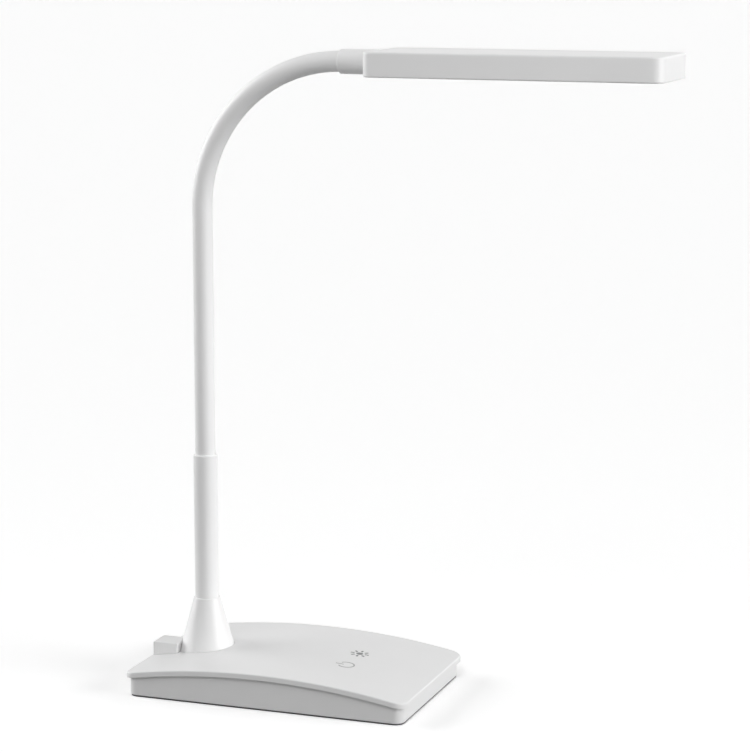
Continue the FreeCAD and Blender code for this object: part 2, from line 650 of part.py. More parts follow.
def make_base_cover():
    """Arched lid with its lip, skirt, bosses, recess for the collar and port pocket."""
    body = new_body("base_cover")
    profile = sketch_on(body, "lid_profile", "XZ_Plane")
    top = arch(profile, "0")
    low = arch(profile, "Sizes.lip_thickness")
    half = size("base_length") / 2
    for end, x, height in ((1, half, size("front_edge_height")),
                           (2, -half, size("rear_edge_height"))):
        side = profile.addGeometry(Part.LineSegment(
            Vector(x, height, 0), Vector(x, height - size("lip_thickness"), 0)))
        profile.addConstraint(Sketcher.Constraint("Coincident", side, 1, top, end))
        profile.addConstraint(Sketcher.Constraint("Coincident", side, 2, low, end))
    pad(body, "lid", profile, "Sizes.base_width", both_ways=True)

    skirt = sketch_on(body, "skirt_plan", offset="Sizes.skirt_clearance")
    centred(skirt, "Sizes.base_length - 2 * Sizes.lip_overhang",
            "Sizes.base_width - 2 * Sizes.lip_overhang")
    centred(skirt, f"Sizes.base_length - 2 * {SKIRT_INSET}",
            f"Sizes.base_width - 2 * {SKIRT_INSET}")
    before = body.Tip
    pad_to(body, "skirt", skirt, body.Tip, lid_underside(body))
    outer_y = (size("base_width") - 2 * size("lip_overhang")) / 2
    round_edges(body, "skirt_outer_corners", "Sizes.plan_corner_radius - Sizes.lip_overhang",
                uprights(before, lambda p: abs(p.y) > outer_y - 0.01))
    round_edges(body, "skirt_inner_corners",
                f"Sizes.plan_corner_radius - {SKIRT_INSET}",
                uprights(before, lambda p: abs(abs(p.y) - outer_y + size("skirt_wall")) < 0.01))
    side = size("base_width") / 2
    round_edges(body, "lid_corners", "Sizes.plan_corner_radius",
                lambda e: is_upright(e) and abs(abs(e.CenterOfMass.y) - side) < 0.01)

    places = cover_screw_places()
    bosses = circles_on(body, "cover_boss_plan", places, "Sizes.cover_boss_radius", TRAY_TOP)
    pad_to(body, "cover_bosses", bosses, body.Tip, lid_underside(body))
    corners = board_screw_places()
    bosses = circles_on(body, "board_boss_plan", corners, "Sizes.board_boss_radius", BOARD_TOP)
    pad_to(body, "board_bosses", bosses, body.Tip, lid_underside(body))
    boss = circles_on(body, "post_boss_plan", [(POST_X, "0")], "Sizes.post_boss_radius",
                      BALLAST_TOP)
    pad_to(body, "post_boss", boss, body.Tip, lid_underside(body))
    seat = sketch_on(body, "port_seat_plan", offset=f"{PORT_FLOOR} - Sizes.port_floor_thickness")
    rectangle(seat, f"{INLET_FACE} - Sizes.skirt_wall / 2",
              f"{PORT_REAR} + Sizes.port_length + Sizes.port_floor_thickness",
              "Sizes.port_y - Sizes.port_width / 2 - Sizes.port_floor_thickness",
              "Sizes.port_y + Sizes.port_width / 2 + Sizes.port_floor_thickness")
    pad_to(body, "port_seat", seat, body.Tip, lid_underside(body))

    hole = circles_on(body, "post_hole_plan", [(POST_X, "0")],
                      "Sizes.stud_radius + Sizes.stud_hole_play", BALLAST_TOP)
    pocket(body, "post_hole", hole, "Sizes.crown_height", upwards=True)
    recess = circles_on(body, "collar_recess_plan", [(POST_X, "0")],
                        "Sizes.collar_base_radius + Sizes.collar_play", COLLAR_SEAT)
    pocket(body, "collar_recess", recess, "Sizes.crown_height", upwards=True)
    slot = sketch_on(body, "lead_slot_plan", "YZ_Plane", offset=POST_X)
    rectangle(slot, "-Sizes.lead_slot_width / 2", "Sizes.lead_slot_width / 2", BALLAST_TOP,
              f"{LEAD_HEIGHT} + Sizes.lead_slot_width / 2")
    pocket(body, "lead_slot", slot, "Sizes.post_boss_radius * 1.2", upwards=True)
    port = sketch_on(body, "port_pocket_plan", offset=PORT_FLOOR)
    rectangle(port, f"{PORT_REAR} - Sizes.port_play",
              f"{PORT_REAR} + Sizes.port_length + Sizes.port_play",
              "Sizes.port_y - Sizes.port_width / 2 - Sizes.port_play",
              "Sizes.port_y + Sizes.port_width / 2 + Sizes.port_play")
    pocket(body, "port_pocket", port, "Sizes.crown_height", upwards=True)
    inlet = sketch_on(body, "inlet_hole_plan", "YZ_Plane", offset=f"-{HALF_LENGTH}")
    circle(inlet, "Sizes.inlet_y", INLET_HEIGHT,
           "Sizes.inlet_collar_radius + Sizes.inlet_play")
    pocket(body, "inlet_hole", inlet, f"{SKIRT_INSET} + Sizes.fit_gap", upwards=True)

    pilots = circles_on(body, "cover_pilot_plan", places,
                        "Sizes.cover_screw_radius + Sizes.screw_play", TRAY_TOP)
    pocket(body, "cover_pilots", pilots,
           "Sizes.cover_screw_length - Sizes.tray_thickness + Sizes.pilot_extra", upwards=True)
    pilots = circles_on(body, "board_pilot_plan", corners,
                        "Sizes.board_screw_radius + Sizes.screw_play", BOARD_TOP)
    pocket(body, "board_pilots", pilots,
           "Sizes.board_screw_length - Sizes.board_thickness + Sizes.pilot_extra / 2",
           upwards=True)
    round_edges(body, "lip_edge", "Sizes.lip_edge_radius", is_lid_rim)
    node(body, "base_cover")


def is_lid_rim(edge):
    """Tell whether an edge belongs to the upper outline of the lid."""
    box = edge.BoundBox
    half_x, half_y = size("base_length") / 2, size("base_width") / 2
    corner = size("plan_corner_radius")
    middle = edge.CenterOfMass
    if is_upright(edge) or edge.Length < 1.0:
        return False
    on_side = abs(box.YLength) < 1e-4 and abs(abs(middle.y) - half_y) < 1e-3
    on_end = abs(box.XLength) < 1e-4 and abs(abs(middle.x) - half_x) < 1e-3
    in_corner = (abs(middle.x) > half_x - corner and abs(middle.y) > half_y - corner
                 and box.XLength > corner / 2 and box.YLength > corner / 2)
    share = (middle.x + half_x) / (2 * half_x)
    chord = (size("rear_edge_height") * (1 - share) + size("front_edge_height") * share)
    is_upper = middle.z > chord - size("lip_thickness") / 2
    if on_side:
        is_upper = box.ZMax > size("crown_height") - size("lip_thickness") / 2
    return (on_side or on_end or in_corner) and is_upper


# Floor, ballast and mat.

def make_base_tray():
    """Floor of the base, with standoffs for the ballast and holes for the screws."""
    body = plate("base_tray", f"Sizes.base_length - 2 * {TRAY_INSET}",
                 f"Sizes.base_width - 2 * {TRAY_INSET}", "Sizes.tray_thickness",
                 f"Sizes.plan_corner_radius - {SKIRT_INSET}")
    seats = ballast_screw_places()
    posts = circles_on(body, "standoff_plan", seats, "Sizes.standoff_radius",
                       "Sizes.tray_thickness")
    pad(body, "standoffs", posts, "Sizes.standoff_height")
    bores = circles_on(body, "standoff_bore_plan", seats,
                       "Sizes.ballast_screw_radius + Sizes.screw_play",
                       "Sizes.tray_thickness + Sizes.standoff_height")
    pocket(body, "standoff_bores", bores,
           "Sizes.ballast_screw_length - Sizes.ballast_thickness + Sizes.pilot_extra / 4")
    places = cover_screw_places()
    holes = circles_on(body, "cover_hole_plan", places,
                       "Sizes.cover_screw_radius + Sizes.screw_play * 4",
                       "Sizes.tray_thickness")
    pocket(body, "cover_holes", holes, "Sizes.tray_thickness")
    sinks = circles_on(body, "countersink_plan", places,
                       "Sizes.cover_head_radius + Sizes.screw_play * 2")
    pocket(body, "head_pockets", sinks, "Sizes.cover_head_height", upwards=True)
    move(body, z=TRAY_BOTTOM)
    node(body, "base_tray")


def make_ballast():
    """Steel plate that keeps the lamp upright, clamped to the lid by the arm's nut."""
    body = plate("ballast_plate", BALLAST_LENGTH, BALLAST_WIDTH, "Sizes.ballast_thickness",
                 "Sizes.ballast_corner_radius")
    hole = circles_on(body, "stud_hole_plan", [(POST_X, "0")],
                      "Sizes.stud_radius + Sizes.stud_hole_play", "Sizes.ballast_thickness")
    pocket(body, "stud_hole", hole, "Sizes.ballast_thickness")
    counterbore = circles_on(body, "nut_pocket_plan", [(POST_X, "0")],
                             "Sizes.stud_radius + Sizes.washer_rim + Sizes.nut_pocket_play")
    pocket(body, "nut_pocket", counterbore, "Sizes.nut_pocket_depth", upwards=True)
    seats = ballast_screw_places()
    holes = circles_on(body, "ballast_hole_plan", seats,
                       "Sizes.ballast_screw_radius + Sizes.ballast_hole_play",
                       "Sizes.ballast_thickness")
    pocket(body, "ballast_holes", holes, "Sizes.ballast_thickness")
    move(body, z=BALLAST_BOTTOM)
    node(body, "ballast_plate")


def make_mat():
    """Rubber mat that the lamp stands on."""
    inset = f"({TRAY_INSET} + Sizes.mat_inset)"
    body = plate("anti_slip_mat", f"Sizes.base_length - 2 * {inset}",
                 f"Sizes.base_width - 2 * {inset}", "Sizes.mat_thickness",
                 "Sizes.mat_corner_radius")
    node(body, "anti_slip_mat")


def make_base_screws():
    """Screws that hold the tray to the lid and the ballast to the tray."""
    screws = []
    for i, place in enumerate(cover_screw_places()):
        under_head = f"({TRAY_BOTTOM} + Sizes.cover_head_height)"
        screws.append(screw_up(f"cover_screw_{i}", place, under_head,
                               "Sizes.cover_screw_radius",
                               "(Sizes.cover_screw_length - Sizes.cover_head_height)",
                               "Sizes.cover_head_radius", "Sizes.cover_head_height"))
    group("cover_screws", screws)
    screws = []
    for i, place in enumerate(ballast_screw_places()):
        screws.append(screw_down(f"ballast_screw_{i}", place, BALLAST_TOP,
                                 "Sizes.ballast_screw_radius", "Sizes.ballast_screw_length",
                                 "Sizes.ballast_head_radius", "Sizes.ballast_head_height"))
    group("ballast_screws", screws)


# Foot of the arm.

def make_post_collar():
    """Hollow cone that covers the arm's foot."""
    body = new_body("post_collar")
    inner_base = "(Sizes.collar_base_radius - Sizes.collar_wall)"
    bore = f"({SLEEVE_RADIUS} + Sizes.sleeve_play)"
    inner_top = f"({bore} + Sizes.collar_step)"
    neck = "(Sizes.collar_height - Sizes.collar_neck)"
    turned(body, "collar_cone", [
        (bore, neck), (inner_top, neck), (inner_base, "0"),
        ("Sizes.collar_base_radius", "0"), (COLLAR_TOP, "Sizes.collar_height"),
        (bore, "Sizes.collar_height")])
    round_edges(body, "collar_edge", "Sizes.collar_edge_radius", outer_rim(body, at_top=True))
    move(body, POST_X, "0", COLLAR_SEAT)
    node(body, "post_collar")


def make_post_sleeve():
    """Rigid sleeve round the arm's lower end."""
    body = new_body("post_sleeve")
    lip = "(Sizes.arm_radius + Sizes.sleeve_play)"
    turned(body, "sleeve_tube", [
        (SLEEVE_BORE, "0"), (SLEEVE_RADIUS, "0"), (SLEEVE_RADIUS, "Sizes.sleeve_length"),
        (lip, "Sizes.sleeve_length"), (lip, "Sizes.sleeve_length - Sizes.sleeve_lip_length"),
        (SLEEVE_BORE, "Sizes.sleeve_length - Sizes.sleeve_lip_length")])
    round_edges(body, "sleeve_edge", "Sizes.sleeve_edge_radius", outer_rim(body, at_top=True))
    move(body, POST_X, "0", FLANGE_TOP)
    node(body, "post_sleeve")


def make_post_stud():
    """Hollow threaded stud that carries the arm and is clamped to the ballast."""
    body = new_body("post_stud")
    foot = f"({NUT_SEAT} - Sizes.washer_thickness - Sizes.nut_height - {COLLAR_SEAT})"
    shoulder = "(Sizes.stud_flange_thickness + Sizes.stud_socket_length)"
    ledge = f"({shoulder} - Sizes.stud_socket_depth)"
    flange = f"({SLEEVE_RADIUS} + Sizes.stud_flange_rim)"
    outside = f"({SLEEVE_BORE} - Sizes.stud_socket_play)"
    turned(body, "stud_tube", [
        ("Sizes.stud_bore_radius", foot), ("Sizes.stud_radius", foot),
        ("Sizes.stud_radius", "0"), (flange, "0"), (flange, "Sizes.stud_flange_thickness"),
        (outside, "Sizes.stud_flange_thickness"), (outside, shoulder),
        (SOCKET_RADIUS, shoulder), (SOCKET_RADIUS, ledge), ("Sizes.stud_bore_radius", ledge)])
    window = sketch_on(body, "lead_window_plan", "YZ_Plane")
    rectangle(window, "-Sizes.lead_slot_width / 2", "Sizes.lead_slot_width / 2",
              f"{BALLAST_TOP} - {COLLAR_SEAT}",
              f"{LEAD_HEIGHT} + Sizes.lead_slot_width / 2 - {COLLAR_SEAT}")
    pocket(body, "lead_window", window, "Sizes.stud_radius * 1.5", upwards=True)
    move(body, POST_X, "0", COLLAR_SEAT)
    node(body, "post_stud")


def make_post_nut():
    """Washer and nut under the ballast."""
    washer_z = f"({NUT_SEAT} - Sizes.washer_thickness)"
    bore = "Sizes.stud_radius + Sizes.screw_play"
    ring = rod("washer_disc", "Sizes.stud_radius + Sizes.washer_rim", "Sizes.washer_thickness",
               POST_X, "0", washer_z)
    hole = rod("washer_hole", bore, "Sizes.washer_thickness", POST_X, "0", washer_z)
    node(cut("lock_washer", ring, hole), "lock_washer")
    prism = doc.addObject("Part::Prism", "nut_blank")
    prism.Polygon = 6
    prism.setExpression("Circumradius", "Sizes.stud_radius + Sizes.nut_rim")
    prism.setExpression("Height", "Sizes.nut_height")
    nut_z = f"({washer_z} - Sizes.nut_height)"
    move(prism, POST_X, "0", nut_z)
    hole = rod("nut_thread", bore, "Sizes.nut_height", POST_X, "0", nut_z)
    node(cut("post_nut", prism, hole), "post_nut")


# Electronics of the base.

def make_touch_board():
    """Touch board, its screws, the foam under its keys and its parts."""
    body = new_body("touch_board")
    plan = sketch_on(body, "board_plan")
    rectangle(plan, BOARD_REAR, f"{BOARD_REAR} + Sizes.board_length",
              "-Sizes.board_width / 2", "Sizes.board_width / 2")
    pad(body, "board_slab", plan, "Sizes.board_thickness")
    holes = circles_on(body, "board_hole_plan", board_screw_places(),
                       "Sizes.board_screw_radius + Sizes.screw_play * 2",
                       "Sizes.board_thickness")
    pocket(body, "board_holes", holes, "Sizes.board_thickness")
    move(body, z=BOARD_BOTTOM)
    node(body, "touch_board")

    screws = [screw_up(f"board_screw_{i}", place, BOARD_BOTTOM, "Sizes.board_screw_radius",
                       "Sizes.board_screw_length", "Sizes.board_head_radius",
                       "Sizes.board_head_height")
              for i, place in enumerate(board_screw_places())]
    group("board_screws", screws)

    foam_height = f"{lid_top(BOARD_X)} - Sizes.lip_thickness - Sizes.key_gap - {BOARD_TOP}"
    contacts = [rod(f"key_contact_{i}", "Sizes.key_radius", foam_height, BOARD_X,
                    f"{side}Sizes.key_spread", BOARD_TOP)
                for i, side in enumerate(("", "-"))]
    group("touch_contacts", contacts)

    chip = ("Sizes.chip_size", "Sizes.chip_size", "Sizes.chip_height")
    coil = ("Sizes.coil_size", "Sizes.coil_size", "Sizes.coil_height")
    small = ("Sizes.small_part_length", "Sizes.small_part_width", "Sizes.small_part_height")
    # Each part's name and size, then its place in steps of the pitch from the board's middle.
    layout = [("driver_chip", chip, -1, 0.8), ("touch_chip", chip, 1, 0), ("coil", coil, -1.2, -1),
              ("storage_part", small, 0, 0.7), ("sense_part", small, 0.1, -0.3),
              ("filter_part", small, 0, -1), ("timing_part", small, 2, 0.4)]
    solids = [block(name, *box, f"{BOARD_X} + Sizes.part_pitch * {x} - {box[0]} / 2",
                    f"Sizes.part_pitch * {y} - {box[1]} / 2", BOARD_TOP)
              for name, box, x, y in layout]
    solids.append(block("lead_header", "Sizes.header_length", "Sizes.plug_width",
                        "Sizes.header_height", BOARD_REAR, "-Sizes.plug_width / 2", BOARD_TOP))
    solids.append(block("lead_plug", "Sizes.plug_length", "Sizes.plug_width", PLUG_HEIGHT,
                        f"{BOARD_REAR} - Sizes.plug_length", "-Sizes.plug_width / 2",
                        f"{LEAD_HEIGHT} - {PLUG_HEIGHT} / 2"))
    group("board_parts", solids)


def make_power_lead():
    """Lead from the power socket to the edge of the touch board, over the ballast."""
    start = f"({INLET_FACE} + Sizes.inlet_length)"
    item = doc.addObject("Part::Cylinder", "power_lead")
    item.setExpression("Radius", "Sizes.power_lead_radius")
    item.setExpression("Height", f"{BOARD_REAR} - {start}")
    height = f"{BALLAST_TOP} + Sizes.power_lead_radius + Sizes.collar_play"
    move(item, start, "Sizes.inlet_y", height, "90")
    node(item, "power_lead")


# Charging port and power inlet.

def make_port():
    """Housing on the lid, with the metal shell and tongue of a charging port.

    The housing stands against the collar, so the collar's cone is cut out of it.
    """
    body = new_body("housing_body")
    plan = sketch_on(body, "housing_plan")
    rectangle(plan, "0", "Sizes.port_length", "-Sizes.port_width / 2", "Sizes.port_width / 2")
    pad(body, "housing_block", plan, "Sizes.port_height")
    top = size("port_height")
    round_edges(body, "housing_edges", "Sizes.port_edge_radius",
                lambda edge: is_upright(edge) or edge.BoundBox.ZMin > top - 1e-4)
    play = "2 * Sizes.shell_play"
    mouth = sketch_on(body, "mouth_plan", "YZ_Plane")
    rectangle(mouth, f"-(Sizes.shell_width + {play}) / 2", f"(Sizes.shell_width + {play}) / 2",
              "Sizes.shell_lift - Sizes.shell_play",
              "Sizes.shell_lift + Sizes.shell_height + Sizes.shell_play")
    pocket(body, "mouth", mouth, "Sizes.shell_depth + Sizes.shell_play", upwards=True)
    move(body, PORT_REAR, "Sizes.port_y", PORT_FLOOR)
    cone = doc.addObject("Part::Cone", "collar_space")
    cone.setExpression("Radius1", "Sizes.collar_base_radius + Sizes.collar_play")
    cone.setExpression("Radius2", f"{COLLAR_TOP} + Sizes.collar_play")
    cone.setExpression("Height", "Sizes.collar_height")
    move(cone, POST_X, "0", COLLAR_SEAT)
    node(cut("port_housing", body, cone), "port_housing")

    body = new_body("port_shell")
    face = sketch_on(body, "shell_face", "YZ_Plane")
    rectangle(face, "-Sizes.shell_width / 2", "Sizes.shell_width / 2", "0", "Sizes.shell_height")
    pad(body, "shell_block", face, "Sizes.shell_depth")
    inside = sketch_on(body, "shell_inside", "YZ_Plane")
    rectangle(inside, "Sizes.shell_wall - Sizes.shell_width / 2",
              "Sizes.shell_width / 2 - Sizes.shell_wall", "Sizes.shell_wall",
              "Sizes.shell_height - Sizes.shell_wall")
    pocket(body, "shell_hollow", inside, "Sizes.shell_depth - Sizes.shell_wall", upwards=True)
    move(body, PORT_REAR, "Sizes.port_y", SHELL_BOTTOM)
    node(body, "port_shell")

    root_x = "(Sizes.shell_depth - Sizes.shell_wall - Sizes.tongue_root)"
    root = block("tongue_block", "Sizes.tongue_root", "Sizes.shell_width - 2 * Sizes.shell_wall",
                 "Sizes.shell_height - 2 * Sizes.shell_wall", f"{PORT_REAR} + {root_x}",
                 "Sizes.port_y - Sizes.shell_width / 2 + Sizes.shell_wall",
                 f"{SHELL_BOTTOM} + Sizes.shell_wall")
    blade = block("tongue_blade", "Sizes.tongue_length", "Sizes.tongue_width",
                  "Sizes.tongue_thickness", f"{PORT_REAR} + {root_x} - Sizes.tongue_length",
                  "Sizes.port_y - Sizes.tongue_width / 2",
                  f"{SHELL_BOTTOM} + Sizes.shell_height - 2 * Sizes.shell_wall"
                  " - Sizes.tongue_thickness")
    node(joined("port_tongue", root, blade), "port_tongue")


def make_power_socket():
    """Barrel socket in the rear of the skirt, with its centre pin."""
    body = new_body("power_socket")
    face = sketch_on(body, "socket_face", "YZ_Plane")
    rectangle(face, "-Sizes.inlet_width / 2", "Sizes.inlet_width / 2",
              "-Sizes.inlet_height / 2", "Sizes.inlet_height / 2")
    pad(body, "socket_block", face, "Sizes.inlet_length")
    nose = sketch_on(body, "socket_nose_plan", "YZ_Plane")
    circle(nose, "0", "0", "Sizes.inlet_collar_radius")
    pad(body, "socket_nose", nose, "Sizes.skirt_wall", downwards=True)
    bore = sketch_on(body, "socket_bore_plan", "YZ_Plane", offset="-Sizes.skirt_wall")
    circle(bore, "0", "0", "Sizes.inlet_bore_radius")
    pocket(body, "socket_bore", bore, "Sizes.inlet_bore_depth", upwards=True)
    move(body, INLET_FACE, "Sizes.inlet_y", INLET_HEIGHT)
    node(body, "power_socket")

    pin = doc.addObject("Part::Cylinder", "socket_pin")
    pin.setExpression("Radius", "Sizes.inlet_pin_radius")
    pin.setExpression("Height", "Sizes.inlet_bore_depth - Sizes.inlet_pin_recess")
    move(pin, f"{INLET_FACE} - Sizes.skirt_wall + Sizes.inlet_pin_recess", "Sizes.inlet_y",
         INLET_HEIGHT, "90")
    node(pin, "socket_pin")


# Flexible arm: links of the core and of the lead, and the skin between link middles.

def tube_section(body, name, x, outer, inner):
    """Sketch the ring, or the disc where there is no bore, of a tube about a place on X."""
    sketch = sketch_on(body, name)
    circle(sketch, x, "0", outer)
    if inner is not None:
        circle(sketch, x, "0", inner)
    return sketch


def straight_tube(label, outer, inner, start, length):
    """Make an upright piece of the arm, from a height above the base."""
    body = new_body(label)
    pad(body, f"{label}_run", tube_section(body, f"{label}_ring", "0", outer, inner), length)
    move(body, POST_X, "0", start)
    node(body, label)


def bent_tube(label, outer, inner, start, sweep, run=None, run_at_end=False):
    """Make a piece of the arm's bend, from an angle along it.

    The bend's centre is the body's origin. A straight run can be added at the piece's
    start or at its end; the piece is then drawn from that side.
    """
    body = new_body(label)
    centre_line = "-Sizes.bend_radius"
    if run is not None:
        ring = tube_section(body, f"{label}_run_ring", centre_line, outer, inner)
        pad(body, f"{label}_run", ring, run, downwards=not run_at_end)
    before = volume_of(body)
    ring = tube_section(body, f"{label}_ring", centre_line, outer, inner)
    arc = feature(body, "Revolution", f"{label}_arc", ring)
    arc.ReferenceAxis = (ring, ["V_Axis"])
    arc.setExpression("Angle", sweep)
    arc.Reversed = run_at_end
    check_change(body, arc, before, True)
    turn = f"{start} + {sweep}" if run_at_end else start
    move(body, BEND_X, "0", BEND_START, turn)
    node(body, label)


def make_arm():
    """Make every link of the core, every length of lead and every piece of skin."""
    core_foot = f"({FLANGE_TOP} + Sizes.stud_socket_length - Sizes.stud_socket_depth)"
    core = (CORE_RADIUS, CORE_BORE)
    straight_tube("arm_core_0", *core, core_foot,
                  f"{SLEEVE_TOP} + {RUN_STEP} / 2 - {CORE_END} - {core_foot}")
    make_links("arm_core", *core, "(Sizes.anchor_setback + Sizes.anchor_socket_depth)")
    make_links("arm_lead", "Sizes.lead_radius", None,
               "(Sizes.ferrule_length + Sizes.panel_start + Sizes.led_board_inset)")

    skin = ("Sizes.arm_radius", SKIN_BORE)
    for i in range(RUN_JOINTS):
        tuck = "Sizes.skin_tuck" if i == 0 else "0"
        straight_tube(f"arm_skin_{i + 1}", *skin, f"{SLEEVE_TOP} + {RUN_STEP} * {i} - {tuck}",
                      f"{RUN_STEP} + {tuck}")
    for i in range(RUN_JOINTS):
        last = i == RUN_JOINTS - 1
        bent_tube(f"arm_skin_{RUN_JOINTS + i + 1}", *skin, f"{BEND_STEP} * {i}", BEND_STEP,
                  run="Sizes.skin_tuck" if last else None, run_at_end=last)


def make_links(kind, outer, inner, end_run):
    """Make the moving lengths of the core or the lead, from the first pivot to the head."""
    for i in range(1, RUN_JOINTS):
        straight_tube(f"{kind}_{i}", outer, inner,
                      f"{SLEEVE_TOP} + {RUN_STEP} * {i - 0.5} + {CORE_END}",
                      f"{RUN_STEP} - 2 * {CORE_END}")
    bent_tube(f"{kind}_{RUN_JOINTS}", outer, inner, "0", f"{BEND_STEP} / 2 - {CORE_END_ANGLE}",
              run=f"{RUN_STEP} / 2 - {CORE_END}")
    for i in range(1, RUN_JOINTS):
        bent_tube(f"{kind}_{RUN_JOINTS + i}", outer, inner,
                  f"{BEND_STEP} * {i - 0.5} + {CORE_END_ANGLE}",
                  f"{BEND_STEP} - 2 * {CORE_END_ANGLE}")
    bent_tube(f"{kind}_{2 * RUN_JOINTS}", outer, inner,
              f"{BEND_STEP} * {RUN_JOINTS - 0.5} + {CORE_END_ANGLE}",
              f"{BEND_STEP} / 2 - {CORE_END_ANGLE}", run=end_run, run_at_end=True)


def make_base_lead():
    """Lead that drops through the stud, turns and runs to its plug on the touch board."""
    turn_z = f"({LEAD_HEIGHT} + Sizes.lead_turn_radius)"
    turn_x = f"({POST_X} + Sizes.lead_turn_radius)"
    drop = rod("lead_drop", "Sizes.lead_radius",
               f"{SLEEVE_TOP} + {RUN_STEP} / 2 - {CORE_END} - {turn_z}", POST_X, "0", turn_z)
    elbow = doc.addObject("Part::Torus", "lead_elbow")
    elbow.setExpression("Radius1", "Sizes.lead_turn_radius")
    elbow.setExpression("Radius2", "Sizes.lead_radius")
    elbow.Angle3 = 90
    elbow.setExpression(
        "Placement", f"placement(vector({turn_x}; 0; {turn_z}); rotation(vector(0; 1; -1); 180))")
    run = doc.addObject("Part::Cylinder", "lead_run")
    run.setExpression("Radius", "Sizes.lead_radius")
    run.setExpression("Height", f"{BOARD_REAR} - Sizes.plug_length - {turn_x}")
    move(run, turn_x, "0", LEAD_HEIGHT, "90")
    node(joined("base_lead", joined("lead_bend", drop, elbow), run), "base_lead")


# Head.

def in_head(thing):
    """Place a piece drawn from the head's rear face, middle and underside."""
    move(thing, HEAD_X, "0", HEAD_BOTTOM)


def make_ferrule():
    """Ferrule that covers the arm's end."""
    body = new_body("head_ferrule")
    mouth = "(Sizes.arm_radius + Sizes.ferrule_mouth_play)"
    mouth_end = "(Sizes.skin_tuck + Sizes.fit_gap)"
    turned(body, "ferrule_tube", [
        (mouth, "0"), (SLEEVE_RADIUS, "0"), (SLEEVE_RADIUS, "Sizes.ferrule_length"),
        (SLEEVE_BORE, "Sizes.ferrule_length"), (SLEEVE_BORE, mouth_end), (mouth, mouth_end)])
    round_edges(body, "ferrule_edge", "Sizes.ferrule_edge_radius", outer_rim(body, at_top=False))
    move(body, BEND_X, "0", ARM_TOP, "90")
    node(body, "head_ferrule")


def make_anchor():
    """Anchor that joins the arm's core to the head."""
    body = new_body("arm_anchor")
    face = "Sizes.ferrule_length"
    wall_end = "(Sizes.ferrule_length + Sizes.head_wall)"
    barrel = f"({SLEEVE_BORE} - Sizes.anchor_barrel_play)"
    socket_end = "(Sizes.anchor_setback + Sizes.anchor_socket_depth)"
    turned(body, "anchor_barrel", [
        (SOCKET_RADIUS, "Sizes.anchor_setback"), (barrel, "Sizes.anchor_setback"),
        (barrel, face), (ANCHOR_NECK, face), (ANCHOR_NECK, wall_end), (CORE_BORE, wall_end),
        (CORE_BORE, socket_end), (SOCKET_RADIUS, socket_end)])
    # In the turned body Z runs along the head, and X points down.
    end = sketch_on(body, "anchor_block_plan", offset=wall_end)
    rectangle(end, f"{HEAD_AXIS} - {HEAD_CEILING}", f"{HEAD_AXIS} - {BEZEL_TOP} - Sizes.fit_gap",
              "-Sizes.anchor_block_width / 2", "Sizes.anchor_block_width / 2")
    circle(end, "0", "0", CORE_BORE)
    pad(body, "anchor_block", end, "Sizes.anchor_block_length")
    ears = sketch_on(body, "anchor_ear_plan", offset=wall_end)
    low = f"({HEAD_AXIS} - Sizes.anchor_ear_height)"
    for inner, outer in (("-Sizes.anchor_block_width / 2 - Sizes.anchor_ear_reach",
                          "-Sizes.anchor_block_width / 2"),
                         ("Sizes.anchor_block_width / 2",
                          "Sizes.anchor_block_width / 2 + Sizes.anchor_ear_reach")):
        rectangle(ears, f"{low} - Sizes.anchor_ear_thickness", low, inner, outer)
    pad(body, "anchor_ears", ears, "Sizes.anchor_ear_length")
    holes = sketch_on(body, "anchor_hole_plan", "YZ_Plane", offset=low)
    for side in ("", "-"):
        circle(holes, f"{side}{ANCHOR_SCREW_Y}",
               f"{wall_end} + Sizes.anchor_ear_length / 2",
               "Sizes.anchor_screw_radius + Sizes.screw_play * 2")
    pocket(body, "anchor_holes", holes, "Sizes.anchor_ear_thickness")
    move(body, BEND_X, "0", ARM_TOP, "90")
    node(body, "arm_anchor")

    screws = []
    for i, side in enumerate(("", "-")):
        place = (f"{HEAD_X} + Sizes.head_wall + Sizes.anchor_ear_length / 2",
                 f"{side}{ANCHOR_SCREW_Y}")
        screws.append(screw_up(f"anchor_screw_{i}", place,
                               f"({HEAD_BOTTOM} + Sizes.anchor_ear_height)",
                               "Sizes.anchor_screw_radius", "Sizes.anchor_screw_length",
                               "Sizes.anchor_head_radius", "Sizes.anchor_head_height"))
    group("anchor_screws", screws)


def head_screw_places():
    """Return the four bezel screw places, from the head's rear and middle."""
    y = "(Sizes.head_width / 2 - Sizes.head_screw_side_gap)"
    return [(x, f"{side}{y}") for x in HEAD_SCREWS_X for side in ("", "-")]


